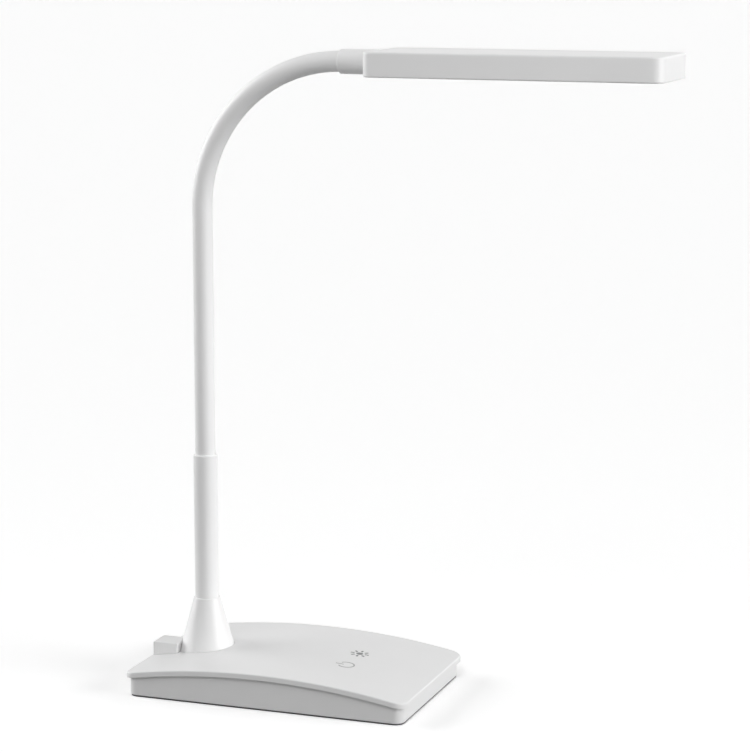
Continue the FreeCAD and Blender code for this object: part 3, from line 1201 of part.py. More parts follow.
def make_head_shell():
    """Upper shell of the head, open below."""
    body = new_body("head_shell")
    plan = sketch_on(body, "head_plan")
    rectangle(plan, "0", "Sizes.head_length", "-Sizes.head_width / 2", "Sizes.head_width / 2")
    pad(body, "head_block", plan, "Sizes.head_thickness")
    before = body.Tip
    hollow = sketch_on(body, "hollow_plan")
    rectangle(hollow, "Sizes.head_wall", "Sizes.head_length - Sizes.head_wall",
              "Sizes.head_wall - Sizes.head_width / 2", "Sizes.head_width / 2 - Sizes.head_wall")
    pocket(body, "hollow", hollow, HEAD_CEILING, upwards=True)
    middle = size("head_length") / 2
    round_edges(body, "hollow_front_corners", "Sizes.head_front_radius - Sizes.head_wall",
                uprights(before, lambda p: p.x > middle))
    round_edges(body, "hollow_rear_corners", "Sizes.head_rear_radius - Sizes.head_wall",
                uprights(before, lambda p: abs(p.x - size("head_wall")) < 1e-3))
    half = size("head_width") / 2
    round_edges(body, "front_corners", "Sizes.head_front_radius",
                lambda edge: is_upright(edge) and edge.CenterOfMass.x > middle
                and abs(edge.CenterOfMass.y) > half - 1e-3)
    round_edges(body, "rear_corners", "Sizes.head_rear_radius",
                lambda edge: is_upright(edge) and edge.CenterOfMass.x < 1e-3)
    top = size("head_thickness")
    round_edges(body, "upper_edges", "Sizes.head_edge_radius",
                lambda edge: edge.BoundBox.ZMin > top - 1e-4)
    neck = sketch_on(body, "neck_hole_plan", "YZ_Plane")
    circle(neck, "0", HEAD_AXIS, f"{ANCHOR_NECK} + Sizes.sleeve_play")
    pocket(body, "neck_hole", neck, "Sizes.head_wall", upwards=True)

    bosses = circles_on(body, "head_boss_plan", head_screw_places(), "Sizes.head_boss_radius",
                        BEZEL_TOP)
    pad(body, "head_bosses", bosses, f"{HEAD_CEILING} - {BEZEL_TOP}")
    anchor_places = [("Sizes.head_wall + Sizes.anchor_ear_length / 2",
                      f"{side}{ANCHOR_SCREW_Y}") for side in ("", "-")]
    ear_top = "(Sizes.anchor_ear_height + Sizes.anchor_ear_thickness)"
    bosses = circles_on(body, "anchor_boss_plan", anchor_places, "Sizes.anchor_boss_radius",
                        ear_top)
    pad(body, "anchor_bosses", bosses, f"{HEAD_CEILING} - {ear_top}")
    pilots = circles_on(body, "head_pilot_plan", head_screw_places(),
                        "Sizes.head_screw_radius + Sizes.screw_play", BEZEL_TOP)
    pocket(body, "head_pilots", pilots, "Sizes.head_screw_length", upwards=True)
    pilots = circles_on(body, "anchor_pilot_plan", anchor_places,
                        "Sizes.anchor_screw_radius + Sizes.screw_play", ear_top)
    pocket(body, "anchor_pilots", pilots, "Sizes.anchor_screw_length - "
           "Sizes.anchor_ear_thickness + Sizes.pilot_extra / 2", upwards=True)
    in_head(body)
    node(body, "head_shell")


def make_bezel():
    """Frame that closes the head below and holds the diffuser."""
    body = new_body("head_bezel")
    inset = "(Sizes.head_wall + Sizes.bezel_play)"
    plan = sketch_on(body, "bezel_plan", offset="Sizes.bezel_recess")
    rectangle(plan, inset, f"Sizes.head_length - {inset}", f"{inset} - Sizes.head_width / 2",
              f"Sizes.head_width / 2 - {inset}")
    pad(body, "bezel_slab", plan, "Sizes.bezel_thickness")
    middle = size("head_length") / 2
    round_edges(body, "bezel_front_corners", f"Sizes.head_front_radius - {inset}",
                lambda edge: is_upright(edge) and edge.CenterOfMass.x > middle)
    round_edges(body, "bezel_rear_corners", f"Sizes.head_rear_radius - {inset}",
                lambda edge: is_upright(edge) and edge.CenterOfMass.x < middle)
    before = body.Tip
    window = sketch_on(body, "window_plan", offset="Sizes.bezel_recess")
    rectangle(window, "Sizes.panel_start + Sizes.panel_border",
              f"{PANEL_END} - Sizes.panel_border",
              f"Sizes.panel_border - {PANEL_SIDE}", f"{PANEL_SIDE} - Sizes.panel_border")
    pocket(body, "window", window, "Sizes.bezel_thickness", upwards=True)
    round_edges(body, "window_corners", "Sizes.panel_border", uprights(before))
    holes = circles_on(body, "bezel_hole_plan", head_screw_places(),
                       "Sizes.head_screw_radius + Sizes.screw_play * 4", "Sizes.bezel_recess")
    pocket(body, "bezel_holes", holes, "Sizes.bezel_thickness", upwards=True)
    sinks = circles_on(body, "bezel_sink_plan", head_screw_places(),
                       "Sizes.head_screw_head_radius + Sizes.screw_play * 2",
                       "Sizes.bezel_recess")
    pocket(body, "bezel_sinks", sinks, "Sizes.head_screw_head_height", upwards=True)
    in_head(body)
    node(body, "head_bezel")

    screws = []
    for i, (x, y) in enumerate(head_screw_places()):
        under_head = f"({HEAD_BOTTOM} + Sizes.bezel_recess + Sizes.head_screw_head_height)"
        screws.append(screw_up(f"bezel_screw_{i}", (f"{HEAD_X} + {x}", y), under_head,
                               "Sizes.head_screw_radius",
                               "(Sizes.head_screw_length - Sizes.head_screw_head_height)",
                               "Sizes.head_screw_head_radius", "Sizes.head_screw_head_height"))
    group("bezel_screws", screws)


def head_plate(label, bottom, thickness, inset):
    """Make a plate over the panel's outline, with its edge moved in."""
    body = new_body(label)
    plan = sketch_on(body, f"{label}_plan", offset=bottom)
    rectangle(plan, f"Sizes.panel_start + {inset}", f"{PANEL_END} - {inset}",
              f"{inset} - {PANEL_SIDE}", f"{PANEL_SIDE} - {inset}")
    pad(body, f"{label}_slab", plan, thickness)
    in_head(body)
    node(body, label)
    return body


def make_light_engine():
    """Diffuser, reflector frame, light board with its sources, and heat spreader."""
    head_plate("diffuser", BEZEL_TOP, "Sizes.panel_thickness", "0")
    frame = head_plate("reflector_frame", PANEL_TOP, FRAME_HEIGHT, "0")
    inside = sketch_on(frame, "frame_inside", offset=PANEL_TOP)
    rectangle(inside, "Sizes.panel_start + Sizes.frame_wall", f"{PANEL_END} - Sizes.frame_wall",
              f"Sizes.frame_wall - {PANEL_SIDE}", f"{PANEL_SIDE} - Sizes.frame_wall")
    pocket(frame, "frame_opening", inside, FRAME_HEIGHT, upwards=True)
    notch = sketch_on(frame, "lead_notch_plan", "YZ_Plane", offset="Sizes.panel_start")
    rectangle(notch, "-Sizes.plug_width / 2 - Sizes.fit_gap",
              "Sizes.plug_width / 2 + Sizes.fit_gap",
              f"{HEAD_AXIS} - Sizes.lead_slot_width / 2", FRAME_TOP)
    pocket(frame, "lead_notch", notch, "Sizes.frame_wall", upwards=True)
    head_plate("light_board", FRAME_TOP, "Sizes.led_board_thickness", "Sizes.led_board_inset")
    head_plate("heat_spreader", LED_BOARD_TOP, "Sizes.spreader_thickness",
               "Sizes.spreader_inset")

    first = "(Sizes.panel_start + Sizes.led_board_inset + Sizes.led_margin)"
    span = f"({PANEL_END} - Sizes.led_board_inset - Sizes.led_margin - {first})"
    lights = []
    for row in range(LED_ROWS):
        side = "-" if row == 0 else ""
        for i in range(LED_COUNT):
            x = f"{HEAD_X} + {first} + {span} * {i} / {LED_COUNT - 1} - Sizes.led_length / 2"
            y = f"{side}Sizes.led_row_spread - Sizes.led_width / 2"
            z = f"{HEAD_BOTTOM} + {FRAME_TOP} - Sizes.led_height"
            lights.append(block(f"light_{row}_{i}", "Sizes.led_length", "Sizes.led_width",
                                "Sizes.led_height", x, y, z))
    group("light_sources", lights)

    plug = block("light_plug", "Sizes.plug_length", "Sizes.plug_width",
                 f"{FRAME_TOP} - {HEAD_AXIS} + {PLUG_HEIGHT} / 2",
                 f"{HEAD_X} + Sizes.panel_start + Sizes.led_board_inset",
                 "-Sizes.plug_width / 2", f"{HEAD_BOTTOM} + {HEAD_AXIS} - {PLUG_HEIGHT} / 2")
    node(plug, "light_plug")


# Hand-over.

def check_all():
    """Stop on any object that failed, and on any piece that is not a valid solid."""
    doc.recompute()
    for item in doc.Objects:
        if "Invalid" in item.State or "Error" in item.State:
            raise RuntimeError(f"{item.Label}: {item.State}")
    labels = [item.Label for item in pieces]
    if len(set(labels)) != len(labels):
        raise RuntimeError("two pieces share a label")
    for item in pieces:
        shape = item.Shape
        if shape.isNull() or not shape.isValid() or not shape.Solids:
            raise RuntimeError(f"{item.Label} is not a valid solid")
        print(f"{item.Label}: {len(shape.Solids)} solid(s), {shape.Volume:.1f} mm3")


def export():
    """Write one STEP file per piece."""
    os.makedirs("parts", exist_ok=True)
    for item in pieces:
        item.Shape.exportStep(f"parts/{item.Label}.step")


fill_sheet()
make_base_cover()
make_base_tray()
make_ballast()
make_mat()
make_base_screws()
make_post_collar()
make_post_sleeve()
make_post_stud()
make_post_nut()
make_touch_board()
make_power_lead()
make_port()
make_power_socket()
make_arm()
make_base_lead()
make_ferrule()
make_anchor()
make_head_shell()
make_bezel()
make_light_engine()
check_all()
export()
print(f"{len(pieces)} pieces")
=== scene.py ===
"""Dressed model of a white touch lamp: a weighted base, a flexible arm and a flat light head.

Every length is in metres. X runs from the post towards the head, Y runs across the base and
Z is up.
"""

from __future__ import annotations

import json
import logging
import math
from collections.abc import Callable, Iterable
from dataclasses import dataclass, field
from enum import Enum

import bmesh
import bpy
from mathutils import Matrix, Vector

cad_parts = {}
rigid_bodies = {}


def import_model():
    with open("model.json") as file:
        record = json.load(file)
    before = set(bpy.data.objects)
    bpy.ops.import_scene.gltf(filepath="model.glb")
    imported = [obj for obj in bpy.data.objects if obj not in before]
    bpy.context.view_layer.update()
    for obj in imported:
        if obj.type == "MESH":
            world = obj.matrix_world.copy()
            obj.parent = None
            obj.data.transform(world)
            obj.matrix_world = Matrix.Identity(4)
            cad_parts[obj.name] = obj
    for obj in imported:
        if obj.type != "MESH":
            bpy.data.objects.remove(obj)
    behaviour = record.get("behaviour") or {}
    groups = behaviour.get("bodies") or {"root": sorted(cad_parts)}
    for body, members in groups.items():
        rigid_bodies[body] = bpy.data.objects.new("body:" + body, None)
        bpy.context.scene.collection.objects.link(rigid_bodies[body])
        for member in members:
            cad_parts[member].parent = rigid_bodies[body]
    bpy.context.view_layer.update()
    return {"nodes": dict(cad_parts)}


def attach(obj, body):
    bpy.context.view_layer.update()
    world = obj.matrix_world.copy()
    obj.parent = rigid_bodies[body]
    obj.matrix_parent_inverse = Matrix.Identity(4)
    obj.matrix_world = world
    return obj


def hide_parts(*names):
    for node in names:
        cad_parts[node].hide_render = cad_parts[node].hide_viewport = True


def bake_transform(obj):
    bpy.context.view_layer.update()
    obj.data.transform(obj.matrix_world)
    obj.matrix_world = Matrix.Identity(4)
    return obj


LOG = logging.getLogger("touch_lamp")
MM = 0.001
CORNER_STEPS = 6            # facets in a rounded edge
PLAN_STEPS = 10             # facets in a rounded corner seen from above
TURN_STEPS = 64             # facets round a turned piece
EASED = 0.15 * MM           # radius of an edge that is only eased
WELD = 0.03 * MM            # points closer together than this are joined
LEAST_CORNER = 0.02 * MM    # corner radius that stands for a sharp corner
LEAST_TURN = 1e-4           # angle, in radians, under which two directions count as one
SHARP_ANGLE = math.radians(32)
FACE_WEIGHT = 90            # how far the large faces steer the smooth shading
AHEAD = Vector((1, 0, 0))
ACROSS = Vector((0, 1, 0))
UP = Vector((0, 0, 1))
POST_X = -56.5 * MM
POST_FOOT = Vector((POST_X, 0, 0))

Loop = list[Vector]
Corner = tuple[float, float, float]
Point = tuple[float, float, float]
Spot = tuple[float, float]
Colour = tuple[float, float, float]
Value = bpy.types.NodeSocket | float


# ---------------------------------------------------------------- shapes


class Ends(Enum):
    """How a row of loops is closed into a solid."""

    ROUND = "the last loop meets the first"
    FLAT = "one flat face over each end loop"
    STRIPS = "strips across each end loop, from its first half to its second"


def soften(corners: list[Corner], steps: int = CORNER_STEPS) -> list[Spot]:
    """Round the inner corners of an open profile.

    Args:
        corners: across, height and rounding radius of each corner; the first and last stay sharp.
        steps: facets in each rounding.

    Returns:
        The points of the profile with its roundings.
    """
    line = []
    for i, (across, height, radius) in enumerate(corners):
        here = Vector((across, height))
        if radius <= 0 or i in (0, len(corners) - 1):
            line.append((across, height))
            continue
        before = (Vector(corners[i - 1][:2]) - here).normalized()
        after = (Vector(corners[i + 1][:2]) - here).normalized()
        half = before.angle(after) / 2
        reach = radius / math.tan(half)
        middle = here + (before + after).normalized() * (radius / math.sin(half))
        start, end = here + before * reach - middle, here + after * reach - middle
        for k in range(steps + 1):
            spoke = start.slerp(end, k / steps) if start.angle(end) > LEAST_TURN else start
            line.append(tuple(middle + spoke.normalized() * radius))
    return line


def solid(name: str, loops: list[Loop], ends: Ends) -> bpy.types.Object:
    """Join equal loops of points into a closed solid.

    Args:
        name: name of the piece.
        loops: loops of points in order, each with the same count.
        ends: how the row of loops is closed.

    Returns:
        The new mesh object.
    """
    shape = bmesh.new()
    rings = [[shape.verts.new(point) for point in loop] for loop in loops]
    count = len(rings[0])
    pairs = list(zip(rings, rings[1:]))
    if ends is Ends.ROUND:
        pairs.append((rings[-1], rings[0]))
    for low, high in pairs:
        for i in range(count):
            j = (i + 1) % count
            shape.faces.new((low[i], low[j], high[j], high[i]))
    if ends is Ends.FLAT:
        shape.faces.new(rings[0])
        shape.faces.new(rings[-1])
    if ends is Ends.STRIPS:
        for ring in (rings[0], rings[-1]):
            for i in range(count // 2 - 1):
                shape.faces.new((ring[i], ring[i + 1], ring[count - 2 - i], ring[count - 1 - i]))
    bmesh.ops.recalc_face_normals(shape, faces=shape.faces)
    return hand_over(name, shape)


def hand_over(name: str, shape: bmesh.types.BMesh) -> bpy.types.Object:
    """Turn a finished bmesh into an object in the scene.

    Args:
        name: name of the piece.
        shape: the bmesh, which is freed.

    Returns:
        The new mesh object.
    """
    mesh = bpy.data.meshes.new(name)
    shape.to_mesh(mesh)
    shape.free()
    piece = bpy.data.objects.new(name, mesh)
    bpy.context.scene.collection.objects.link(piece)
    return piece


def polish(piece: bpy.types.Object) -> bpy.types.Object:
    """Shade a hard piece smoothly, with sharp creases and flat faces kept flat.

    Args:
        piece: the piece.

    Returns:
        The same piece.
    """
    piece.data.shade_smooth()
    piece.data.set_sharp_from_angle(angle=SHARP_ANGLE)
    weighting = piece.modifiers.new("face_weights", "WEIGHTED_NORMAL")
    weighting.keep_sharp = True
    weighting.weight = FACE_WEIGHT
    return piece


def carve(piece: bpy.types.Object, tools: Iterable[bpy.types.Object]) -> bpy.types.Object:
    """Cut tools out of a piece and discard them.

    Args:
        piece: the piece to cut.
        tools: closed solids to take away.

    Returns:
        The piece, with its new mesh.
    """
    for tool in tools:
        cutter = piece.modifiers.new("cutter", "BOOLEAN")
        cutter.operation = "DIFFERENCE"
        cutter.solver = "EXACT"
        cutter.object = tool
        bpy.context.view_layer.update()
        graph = bpy.context.evaluated_depsgraph_get()
        cut_mesh = bpy.data.meshes.new_from_object(piece.evaluated_get(graph))
        piece.modifiers.clear()
        old = piece.data
        piece.data = cut_mesh
        cut_mesh.name = piece.name
        bpy.data.meshes.remove(old)
        bpy.data.objects.remove(tool)
    return piece


def merged(name: str, parts: list[bpy.types.Object]) -> bpy.types.Object:
    """Gather several solids into one piece.

    Args:
        name: name of the piece.
        parts: the solids, which are discarded.

    Returns:
        One mesh object that holds them all.
    """
    shape = bmesh.new()
    for part in parts:
        shape.from_mesh(part.data)
        bpy.data.objects.remove(part)
    return hand_over(name, shape)


def turned(name: str, profile: list[Spot], foot: Vector, axis: Vector,
           ends: Ends = Ends.ROUND, steps: int = TURN_STEPS) -> bpy.types.Object:
    """Turn a profile about an axis.

    Args:
        name: name of the piece.
        profile: radius and height of each point.
        foot: the point on the axis where the height is zero.
        axis: direction of the axis.
        ends: how the profile is closed.
        steps: facets in a full turn.

    Returns:
        The new mesh object.
    """
    along = axis.normalized()
    aside = along.orthogonal().normalized()
    across = along.cross(aside)
    loops = []
    for radius, height in profile:
        spokes = (2 * math.pi * k / steps for k in range(steps))
        loops.append([foot + along * height
                      + (aside * math.cos(a) + across * math.sin(a)) * radius for a in spokes])
    return solid(name, loops, ends)


@dataclass(frozen=True)
class Plan:
    """A rounded rectangle seen from above."""

    x_low: float
    x_high: float
    half_width: float
    rear_radius: float
    front_radius: float
    side_steps: int = 1

    def loop(self, inset: float, height: Callable[[float], float] | float) -> Loop:
        """Return the outline, moved inwards.

        Args:
            inset: how far inside the rectangle the outline runs.
            height: one height, or a height for each place along X.

        Returns:
            The outline's points; the second half mirrors the first in reverse.
        """
        left, right, side = self.x_low + inset, self.x_high - inset, self.half_width - inset
        rear = max(self.rear_radius - inset, LEAST_CORNER)
        front = max(self.front_radius - inset, LEAST_CORNER)
        half = []
        for k in range(PLAN_STEPS + 1):
            turn = math.pi - math.pi / 2 * k / PLAN_STEPS
            half.append((left + rear + rear * math.cos(turn), side - rear + rear * math.sin(turn)))
        for k in range(1, self.side_steps):
            share = k / self.side_steps
            half.append((left + rear + (right - front - left - rear) * share, side))
        for k in range(PLAN_STEPS + 1):
            turn = math.pi / 2 - math.pi / 2 * k / PLAN_STEPS
            half.append((right - front + front * math.cos(turn),
                         side - front + front * math.sin(turn)))
        whole = half + [(x, -y) for x, y in reversed(half)]
        return [Vector((x, y, height(x) if callable(height) else height)) for x, y in whole]

    def loops(self, profile: Iterable[Spot]) -> list[Loop]:
        """Return one outline for each inset and height of a profile."""
        return [self.loop(inset, height) for inset, height in profile]


def round_tool(centre: Vector, radius: float, length: float, axis: Vector) -> bpy.types.Object:
    """Make a cylinder for cutting, which starts at its centre and runs along its axis."""
    return turned("tool", [(radius, 0.0), (radius, length)], centre, axis, Ends.FLAT)


def square_tool(low: Vector, high: Vector) -> bpy.types.Object:
    """Make a box from its two extreme corners.

    Args:
        low: its corner with the least X, Y and Z.
        high: its corner with the greatest X, Y and Z.

    Returns:
        The new mesh object.
    """
    plan = Plan(low.x, high.x, (high.y - low.y) / 2, 0, 0)
    shift = Vector((0, (high.y + low.y) / 2, 0))
    loops = [[p + shift for p in plan.loop(0, z)] for z in (low.z, high.z)]
    return solid("tool", loops, Ends.FLAT)


# ---------------------------------------------------------------- materials


MARK_STRETCH = (0.05, 1.0, 1.0)     # worked metal shows marks that are drawn out along X


class Detail(Enum):
    """Surface effects that several materials share, each one a node group."""

    MOULD_GRAIN = "mould_grain"
    TOOL_MARKS = "tool_marks"


def feed(tree: bpy.types.NodeTree, socket: bpy.types.NodeSocket, value: Value) -> None:
    """Link a socket to a value, or set it to a number.

    Args:
        tree: the tree that holds the socket.
        socket: the input that gets the value.
        value: an output socket or a number.
    """
    if isinstance(value, bpy.types.NodeSocket):
        tree.links.new(value, socket)
    else:
        socket.default_value = value


def number_node(tree: bpy.types.NodeTree, action: str, first: Value, second: Value
                ) -> bpy.types.NodeSocket:
    """Add a math node.

    Args:
        tree: the tree that gets the node.
        action: the node's operation.
        first: a socket or a number.
        second: a socket or a number.

    Returns:
        The socket that carries the result.
    """
    node = tree.nodes.new("ShaderNodeMath")
    node.operation = action
    feed(tree, node.inputs[0], first)
    feed(tree, node.inputs[1], second)
    return node.outputs[0]


def noise_node(tree: bpy.types.NodeTree, place: bpy.types.NodeSocket, scale: Value,
               octaves: float) -> bpy.types.NodeSocket:
    """Add a noise texture.

    Args:
        tree: the tree that gets the node.
        place: the coordinates to read it at.
        scale: a socket or a number, in features per metre.
        octaves: layers of finer noise.

    Returns:
        The socket that carries the noise, from zero to one.
    """
    node = tree.nodes.new("ShaderNodeTexNoise")
    tree.links.new(place, node.inputs["Vector"])
    feed(tree, node.inputs["Scale"], scale)
    feed(tree, node.inputs["Detail"], octaves)
    return node.outputs["Fac"]


def open_group(detail: Detail, inputs: dict[str, float]) -> tuple[
        bpy.types.NodeTree, bpy.types.Node, bpy.types.Node]:
    """Start a node group with a colour input and the given number inputs.

    Args:
        detail: which effect the group holds.
        inputs: number inputs and their first values.

    Returns:
        The tree, its input node and its output node.
    """
    tree = bpy.data.node_groups.new(detail.value, "ShaderNodeTree")
    tree.interface.new_socket("Color", in_out="INPUT", socket_type="NodeSocketColor")
    for name, value in inputs.items():
        socket = tree.interface.new_socket(name, in_out="INPUT", socket_type="NodeSocketFloat")
        socket.default_value = value
    tree.interface.new_socket("Color", in_out="OUTPUT", socket_type="NodeSocketColor")
    for name in ("Roughness", "Height"):
        tree.interface.new_socket(name, in_out="OUTPUT", socket_type="NodeSocketFloat")
    return tree, tree.nodes.new("NodeGroupInput"), tree.nodes.new("NodeGroupOutput")


def close_group(tree: bpy.types.NodeTree, given: bpy.types.Node, result: bpy.types.Node,
                tone: bpy.types.NodeSocket, finish: bpy.types.NodeSocket,
                height: bpy.types.NodeSocket) -> bpy.types.NodeTree:
    """Finish a node group from its three patterns.

    Args:
        tree: the group's tree.
        given: its input node.
        result: its output node.
        tone: pattern that darkens the colour, from zero to one.
        finish: pattern that changes the roughness, from zero to one.
        height: pattern of the relief, from zero to one.

    Returns:
        The group's tree.
    """
    shade = number_node(tree, "SUBTRACT", 1.0,
                        number_node(tree, "MULTIPLY", tone, given.outputs["Tone Swing"]))
    tint = tree.nodes.new("ShaderNodeVectorMath")
    tint.operation = "SCALE"
    tree.links.new(given.outputs["Color"], tint.inputs[0])
    tree.links.new(shade, tint.inputs["Scale"])
    tree.links.new(tint.outputs[0], result.inputs["Color"])
    swing = number_node(tree, "MULTIPLY", number_node(tree, "SUBTRACT", finish, 0.5),
                        given.outputs["Roughness Swing"])
    tree.links.new(number_node(tree, "ADD", given.outputs["Roughness"], swing),
                   result.inputs["Roughness"])
    tree.links.new(height, result.inputs["Height"])
    return tree


def mould_grain_group() -> bpy.types.NodeTree:
    """Build the fine eroded grain, flow tone and uneven gloss of moulded plastic.

    Returns:
        The group's tree.
    """
    tree, given, result = open_group(Detail.MOULD_GRAIN, {
        "Roughness": 0.4, "Tone Swing": 0.02, "Roughness Swing": 0.1, "Grain Per Metre": 3000.0})
    place = tree.nodes.new("ShaderNodeTexCoord").outputs["Object"]
    flow = noise_node(tree, place, scale=28.0, octaves=3.0)
    gloss = noise_node(tree, place, scale=170.0, octaves=4.0)
    grain = noise_node(tree, place, scale=given.outputs["Grain Per Metre"], octaves=3.0)
    return close_group(tree, given, result, flow, gloss, grain)


def tool_marks_group() -> bpy.types.NodeTree:
    """Build the drawn-out marks of rolled, turned or brushed metal.

    Returns:
        The group's tree.
    """
    tree, given, result = open_group(Detail.TOOL_MARKS, {
        "Roughness": 0.3, "Tone Swing": 0.1, "Roughness Swing": 0.2, "Grain Per Metre": 900.0})
    place = tree.nodes.new("ShaderNodeTexCoord").outputs["Object"]
    stretch = tree.nodes.new("ShaderNodeVectorMath")
    stretch.operation = "MULTIPLY"
    stretch.inputs[1].default_value = MARK_STRETCH
    tree.links.new(place, stretch.inputs[0])
    lines = noise_node(tree, stretch.outputs[0], scale=given.outputs["Grain Per Metre"],
                       octaves=4.0)
    stain = noise_node(tree, place, scale=60.0, octaves=3.0)
    return close_group(tree, given, result, stain, lines, lines)


GROUP_MAKERS: dict[Detail, Callable[[], bpy.types.NodeTree]] = {
    Detail.MOULD_GRAIN: mould_grain_group,
    Detail.TOOL_MARKS: tool_marks_group,
}


def detail_tree(detail: Detail) -> bpy.types.NodeTree:
    """Return the node group of an effect, built on first use."""
    return bpy.data.node_groups.get(detail.value) or GROUP_MAKERS[detail]()


@dataclass(frozen=True)
class Finish:
    """One finish: its colour, gloss and surface detail."""

    name: str
    colour: Colour
    roughness: float = 0.4
    metallic: float = 0.0
    detail: Detail = Detail.MOULD_GRAIN
    tone_swing: float = 0.03
    roughness_swing: float = 0.12
    grain_per_metre: float = 3000.0
    relief: float = 0.008 * MM
    coat: float = 0.0
    coat_roughness: float = 0.12
    subsurface: float = 0.0
    subsurface_depth: float = 2 * MM
    specular: float = 0.5

    def build(self) -> bpy.types.Material:
        """Build the material of this finish.

        Returns:
            The new material.
        """
        material = bpy.data.materials.new(self.name)
        material.use_nodes = True
        tree = material.node_tree
        surface = tree.nodes["Principled BSDF"]
        surface.inputs["Metallic"].default_value = self.metallic
        surface.inputs["Coat Weight"].default_value = self.coat
        surface.inputs["Coat Roughness"].default_value = self.coat_roughness
        surface.inputs["Specular IOR Level"].default_value = self.specular
        if self.subsurface:
            surface.inputs["Subsurface Weight"].default_value = self.subsurface
            surface.inputs["Subsurface Scale"].default_value = self.subsurface_depth
        group = tree.nodes.new("ShaderNodeGroup")
        group.node_tree = detail_tree(self.detail)
        group.inputs["Color"].default_value = (*self.colour, 1.0)
        group.inputs["Roughness"].default_value = self.roughness
        group.inputs["Tone Swing"].default_value = self.tone_swing
        group.inputs["Roughness Swing"].default_value = self.roughness_swing
        group.inputs["Grain Per Metre"].default_value = self.grain_per_metre
        bump = tree.nodes.new("ShaderNodeBump")
        bump.inputs["Distance"].default_value = self.relief
        tree.links.new(group.outputs["Color"], surface.inputs["Base Color"])
        tree.links.new(group.outputs["Roughness"], surface.inputs["Roughness"])
        tree.links.new(group.outputs["Height"], bump.inputs["Height"])
        tree.links.new(bump.outputs["Normal"], surface.inputs["Normal"])
        return material


def grey(level: float) -> Colour:
    """Return a neutral colour."""
    return (level, level, level)


FINISHES: dict[str, Finish] = {
    "shell_white": Finish("satin_white_shell", grey(0.85), 0.36),
    "sleeve_white": Finish("satin_white_sleeve", grey(0.91), 0.33, grain_per_metre=2400.0),
    "arm_skin": Finish("soft_white_silicone", grey(0.91), 0.42, relief=0.012 * MM,
                       roughness_swing=0.16),
    "tray_white": Finish("white_tray", grey(0.80), 0.50, relief=0.015 * MM),
    "mat_grey": Finish("grey_rubber", (0.10, 0.10, 0.105), 0.75, relief=0.05 * MM,
                       grain_per_metre=1400.0, tone_swing=0.2, specular=0.35),
    "ballast_steel": Finish("mill_steel", (0.40, 0.40, 0.41), 0.42, 1.0, Detail.TOOL_MARKS),
    "screw_steel": Finish("bright_screw_steel", (0.62, 0.62, 0.64), 0.26, 1.0,
                          Detail.TOOL_MARKS, grain_per_metre=2500.0),
    "stud_steel": Finish("turned_stud_steel", (0.60, 0.60, 0.62), 0.30, 1.0,
                         Detail.TOOL_MARKS, grain_per_metre=1800.0),
    "core_steel": Finish("flexible_core_steel", (0.52, 0.52, 0.54), 0.38, 1.0, Detail.TOOL_MARKS),
    "board_green": Finish("green_circuit_board", (0.03, 0.16, 0.06), 0.35, tone_swing=0.2),
    "board_white": Finish("white_light_board", (0.84, 0.84, 0.82), 0.40),
    "parts_black": Finish("black_part_resin", grey(0.035), 0.50, tone_swing=0.3),
    "contact_foam": Finish("grey_contact_foam", grey(0.18), 0.90, relief=0.15 * MM,
                           grain_per_metre=1800.0, tone_swing=0.4),
    "lead_white": Finish("white_lead_jacket", grey(0.76), 0.45),
    "port_white": Finish("white_port_housing", grey(0.84), 0.38),
    "shell_steel": Finish("plated_port_shell", (0.74, 0.74, 0.76), 0.24, 1.0, Detail.TOOL_MARKS,
                          grain_per_metre=2500.0),
    "tongue_white": Finish("white_port_tongue", grey(0.80), 0.40),
    "socket_black": Finish("black_socket", grey(0.03), 0.38, tone_swing=0.2),
    "pin_metal": Finish("plated_pin", (0.75, 0.73, 0.66), 0.22, 1.0, Detail.TOOL_MARKS),
    "diffuser_opal": Finish("opal_diffuser", (0.90, 0.90, 0.89), 0.30, subsurface=0.25,
                            relief=0.02 * MM, grain_per_metre=1200.0),
    "frame_white": Finish("matt_white_reflector", grey(0.86), 0.62),
    "spreader_metal": Finish("drawn_aluminium", (0.70, 0.70, 0.71), 0.36, 1.0,
                             Detail.TOOL_MARKS),
    "light_yellow": Finish("yellow_light_chip", (0.86, 0.70, 0.20), 0.40, coat=0.4),
    "contact_gold": Finish("gold_contact", (0.83, 0.62, 0.28), 0.24, 1.0, Detail.TOOL_MARKS,
                           grain_per_metre=2500.0),
    "key_print": Finish("grey_key_print", grey(0.20), 0.50),
    "key_print_light": Finish("pale_key_print", grey(0.42), 0.50),
}


@dataclass
class Wardrobe:
    """Gives pieces their finishes, and builds each material once."""

    built: dict[str, bpy.types.Material] = field(default_factory=dict)

    def material(self, finish: str) -> bpy.types.Material:
        """Return the material of a finish.

        Args:
            finish: name of the finish.

        Returns:
            The material, built on first use.
        """
        if finish not in self.built:
            self.built[finish] = FINISHES[finish].build()
        return self.built[finish]

    def dress(self, piece: bpy.types.Object, finish: str, slot: str | None = None) -> None:
        """Put one finish on a new piece.

        Args:
            piece: the piece.
            finish: name of the finish.
            slot: the record's material slot, where it isn't named as the finish; not used.
        """
        piece.data.materials.clear()
        piece.data.materials.append(self.material(finish))
        slot or finish

    def dress_frame(self, nodes: dict[str, bpy.types.Object]) -> None:
        """Put the finish of its own slot on every piece that came with the frame.

        Args:
            nodes: the frame's pieces by name.
        """
        for node in nodes.values():
            for place in node.material_slots:
                place.material = self.material(place.material.name.split(".")[0])


# ---------------------------------------------------------------- what the assemblies share


